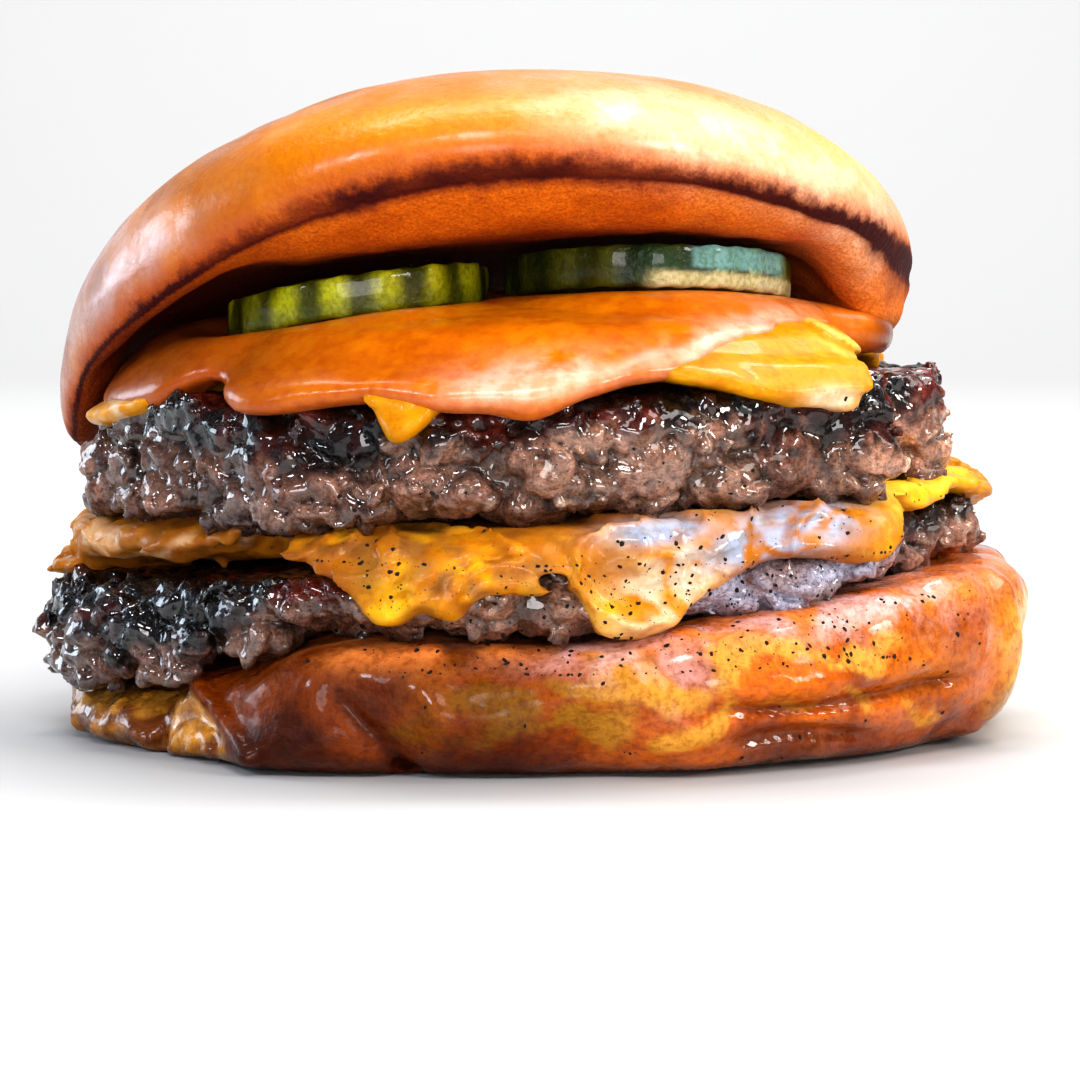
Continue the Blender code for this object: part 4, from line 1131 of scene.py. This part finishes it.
def pickle_material():
    mat, t, s = new_material("pickle")
    mm = object_mm(t)
    tint = attribute(t, "tint", True)
    fine = noise(t, mm, 1.6, 3.0, 0.6)
    colour = mix_colour(t, remap(t, fine, 0.35, 0.70), tint, mix_colour(t, 1.0, tint, (0.62, 0.62, 0.40), "MULTIPLY"))
    t.links.new(colour, s.inputs["Base Color"])
    s.inputs["Roughness"].default_value = 0.30
    s.inputs["Specular IOR Level"].default_value = 0.2
    s.inputs["Coat Weight"].default_value = 0.35
    s.inputs["Coat Roughness"].default_value = 0.07
    s.inputs["Subsurface Weight"].default_value = 0.35
    s.inputs["Subsurface Radius"].default_value = (0.7, 1.0, 0.2)
    s.inputs["Subsurface Scale"].default_value = 0.0030
    bumps(t, s, [(noise(t, mm, 0.9, 3.0, 0.55), 0.35, 0.8), (fine, 0.16, 0.9)])
    return mat


# ====================================================================== pepper
def make_pepper(pieces, count):
    """Small dark flakes that lie on the front of the given pieces, as one mesh."""
    from mathutils import Vector
    from mathutils.bvhtree import BVHTree

    rng = np.random.default_rng(11)
    trees = []
    for obj in pieces:
        trees.append(BVHTree.FromObject(obj, bpy.context.evaluated_depsgraph_get()))
    t = (1 + 5**0.5) / 2
    ico = np.array([(-1, t, 0), (1, t, 0), (-1, -t, 0), (1, -t, 0), (0, -1, t), (0, 1, t), (0, -1, -t), (0, 1, -t),
                    (t, 0, -1), (t, 0, 1), (-t, 0, -1), (-t, 0, 1)]) / math.hypot(1, t)
    ico_faces = [(0, 11, 5), (0, 5, 1), (0, 1, 7), (0, 7, 10), (0, 10, 11), (1, 5, 9), (5, 11, 4), (11, 10, 2),
                 (10, 7, 6), (7, 1, 8), (3, 9, 4), (3, 4, 2), (3, 2, 6), (3, 6, 8), (3, 8, 9), (4, 9, 5),
                 (2, 4, 11), (6, 2, 10), (8, 6, 7), (9, 8, 1)]
    verts, faces = [], []
    # where they lie: least and most angle, least and most height, share of the flakes
    zones = ((-122, -32, 17.5, 29, 0.62), (-150, -25, 27, 38, 0.22), (-110, -25, 3, 17, 0.03), (-85, -45, 38, 46, 0.02),
             (-180, 180, 14, 40, 0.05))
    placed = 0
    for a0, a1, z0, z1, share in zones:
        centre = None
        for _ in range(int(count * share)):
            if rng.random() < 0.35 or centre is None:
                centre = (rng.uniform(a0, a1), rng.uniform(z0, z1))
            a = math.radians(min(max(centre[0] + rng.normal() * 4.0, a0), a1))
            z = min(max(centre[1] + rng.normal() * 1.6, z0), z1)
            start = Vector((0.09 * math.cos(a), 0.09 * math.sin(a), z / 1000))
            aim = Vector((-math.cos(a), -math.sin(a), -0.15)).normalized()
            best = None
            for tree in trees:
                hit = tree.ray_cast(start, aim)
                if hit[0] is not None and (best is None or hit[3] < best[3]):
                    best = hit
            if best is None or best[3] > 0.055:
                continue
            at, normal = np.array(best[0]), np.array(best[1])
            if normal @ np.array(aim) > 0:
                normal = -normal
            side = np.cross(normal, rng.normal(size=3))
            side /= np.linalg.norm(side)
            other = np.cross(normal, side)
            size = 0.000055 + 0.00024 * rng.random() ** 4.0
            shape = ico * (1 + 0.35 * rng.uniform(-1, 1, (12, 1)))
            long, wide, flat = size * rng.uniform(1.0, 1.5), size * rng.uniform(0.7, 1.1), size * 0.6
            body = at + shape[:, :1] * side * long + shape[:, 1:2] * other * wide + shape[:, 2:] * normal * flat
            base = len(verts)
            verts.extend(body.tolist())
            faces.extend([(base + i, base + j, base + k) for i, j, k in ico_faces])
            placed += 1
    mesh = bpy.data.meshes.new("pepper")
    mesh.from_pydata(verts, [], faces)
    obj = bpy.data.objects.new("pepper", mesh)
    bpy.context.scene.collection.objects.link(obj)
    mat, t, s = new_material("cracked_pepper")
    s.inputs["Base Color"].default_value = (0.012, 0.009, 0.008, 1)
    s.inputs["Roughness"].default_value = 0.7
    s.inputs["Specular IOR Level"].default_value = 0.2
    mesh.materials.append(mat)
    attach(obj, "root")
    return obj


# ====================================================================== stage
def area_light(name, place, aim, size, watts, colour, shape_y=None):
    from mathutils import Vector

    light = bpy.data.lights.new(name, "AREA")
    light.energy, light.color = watts, colour
    light.size = size
    if shape_y:
        light.shape, light.size_y = "RECTANGLE", shape_y
    obj = bpy.data.objects.new(name, light)
    bpy.context.scene.collection.objects.link(obj)
    obj.location = place
    obj.rotation_euler = (Vector(aim) - Vector(place)).to_track_quat("-Z", "Y").to_euler()
    return obj


def make_stage():
    scene = bpy.context.scene
    camera = bpy.data.cameras.new("camera")
    cam = bpy.data.objects.new("camera", camera)
    scene.collection.objects.link(cam)
    tilt, away, aim = math.radians(5.0), 0.45, 0.0215
    cam.location = (0, -away * math.cos(tilt), aim + away * math.sin(tilt))
    cam.rotation_euler = (math.pi / 2 - tilt, 0, 0)
    camera.sensor_width = 36.0
    camera.lens = 36.0 * 3788.0 / 1080.0
    camera.clip_start, camera.clip_end = 0.01, 20.0
    scene.camera = cam

    # floor that runs up into a backdrop
    rows = [(-2.2, 0.0), (0.9, 0.0)]
    rows += [(0.9 + 0.5 * math.sin(a), 0.5 - 0.5 * math.cos(a)) for a in np.linspace(0.1, math.pi / 2, 12)]
    rows += [(1.4, 2.2)]
    verts = [(x, y, z) for y, z in rows for x in (-2.5, 2.5)]
    faces = [(2 * i, 2 * i + 1, 2 * i + 3, 2 * i + 2) for i in range(len(rows) - 1)]
    mesh = bpy.data.meshes.new("floor")
    mesh.from_pydata(verts, [], faces)
    mesh.shade_smooth()
    floor = bpy.data.objects.new("floor", mesh)
    scene.collection.objects.link(floor)
    mat, t, s = new_material("pale_floor")
    s.inputs["Base Color"].default_value = (0.45, 0.45, 0.45, 1)
    s.inputs["Roughness"].default_value = 0.7
    floor.data.materials.append(mat)

    world = bpy.data.worlds.new("world")
    scene.world = world
    world.use_nodes = True
    world.node_tree.nodes["Background"].inputs["Color"].default_value = (0.82, 0.88, 1.0, 1)
    world.node_tree.nodes["Background"].inputs["Strength"].default_value = 0.06
    area_light("overhead", (0.42, -0.02, 0.64), (0, 0, 0.05), 0.70, 4.3, (1.0, 0.97, 0.94), 0.50)
    area_light("key", (0.62, -0.44, 0.34), (0, 0, 0.035), 0.22, 2.9, (1.0, 0.96, 0.90), 0.18)
    area_light("fill", (0.04, -1.05, 0.16), (0, 0, 0.045), 0.50, 3.8, (1.0, 0.98, 0.97), 0.28)
    area_light("front_top", (-0.02, -0.50, 0.48), (0, 0, 0.04), 0.26, 1.7, (1.0, 0.96, 0.98), 0.12)
    area_light("window", (-0.64, 0.24, 0.20), (0, 0, 0.04), 0.42, 2.2, (0.74, 0.86, 1.0), 0.26)
    area_light("pane_left", (-0.42, -0.46, 0.36), (0, 0, 0.03), 0.09, 1.2, (0.74, 0.86, 1.0), 0.09)
    area_light("backdrop", (0.0, 0.35, 1.3), (0, 1.2, 0.3), 1.2, 30.0, (1, 1, 1), 0.4)
    scene.view_settings.view_transform = "Standard"
    scene.view_settings.look = "Medium High Contrast"
    scene.view_settings.exposure = 0.0


# ====================================================================== the burger
def main():
    make_stage()
    meat = meat_material()
    upper = make_patty("patty_upper", UPPER_C, 7, 0.5, 180000)
    finish_piece(colour_patty(upper, "patty_upper", UPPER_C, 7), "patty_upper", meat)
    lower = make_patty("patty_lower", LOWER_C, 43, 0.5, 150000)
    finish_piece(colour_patty(lower, "patty_lower", LOWER_C, 43), "patty_lower", meat)

    cheese = melt_material("melted_cheese", 0.40, 0.16, 1.5, 0.08, 0.18, (1.0, 0.55, 0.12), 0.35)
    low_cheese = colour_cheese_lower(make_cheese_lower(0.5, 110000))
    finish_piece(low_cheese, "cheese_lower", cheese)
    top_cheese = colour_cheese_upper(make_cheese_upper(0.5, 80000))
    finish_piece(top_cheese, "cheese_upper", cheese)
    gravy = melt_material("orange_sauce", 0.40, 0.60, 1.5, 0.22, 0.12, (1.0, 0.40, 0.08), 0.25)
    finish_piece(colour_sauce(make_sauce(0.6, 70000)), "sauce", gravy)

    finish_piece(colour_crown(make_crown(0.65, 130000)), "bun_crown", crown_material())
    heel = colour_heel(make_heel(0.7, 120000))
    finish_piece(heel, "bun_heel", heel_material())

    pickle = pickle_material()
    for name, seed in (("pickle_left", 81), ("pickle_right", 93)):
        finish_piece(make_pickle(name, seed, 0.4, 24000), name, pickle)

    make_pepper([upper, lower, low_cheese, top_cheese, heel], 1500)


main()
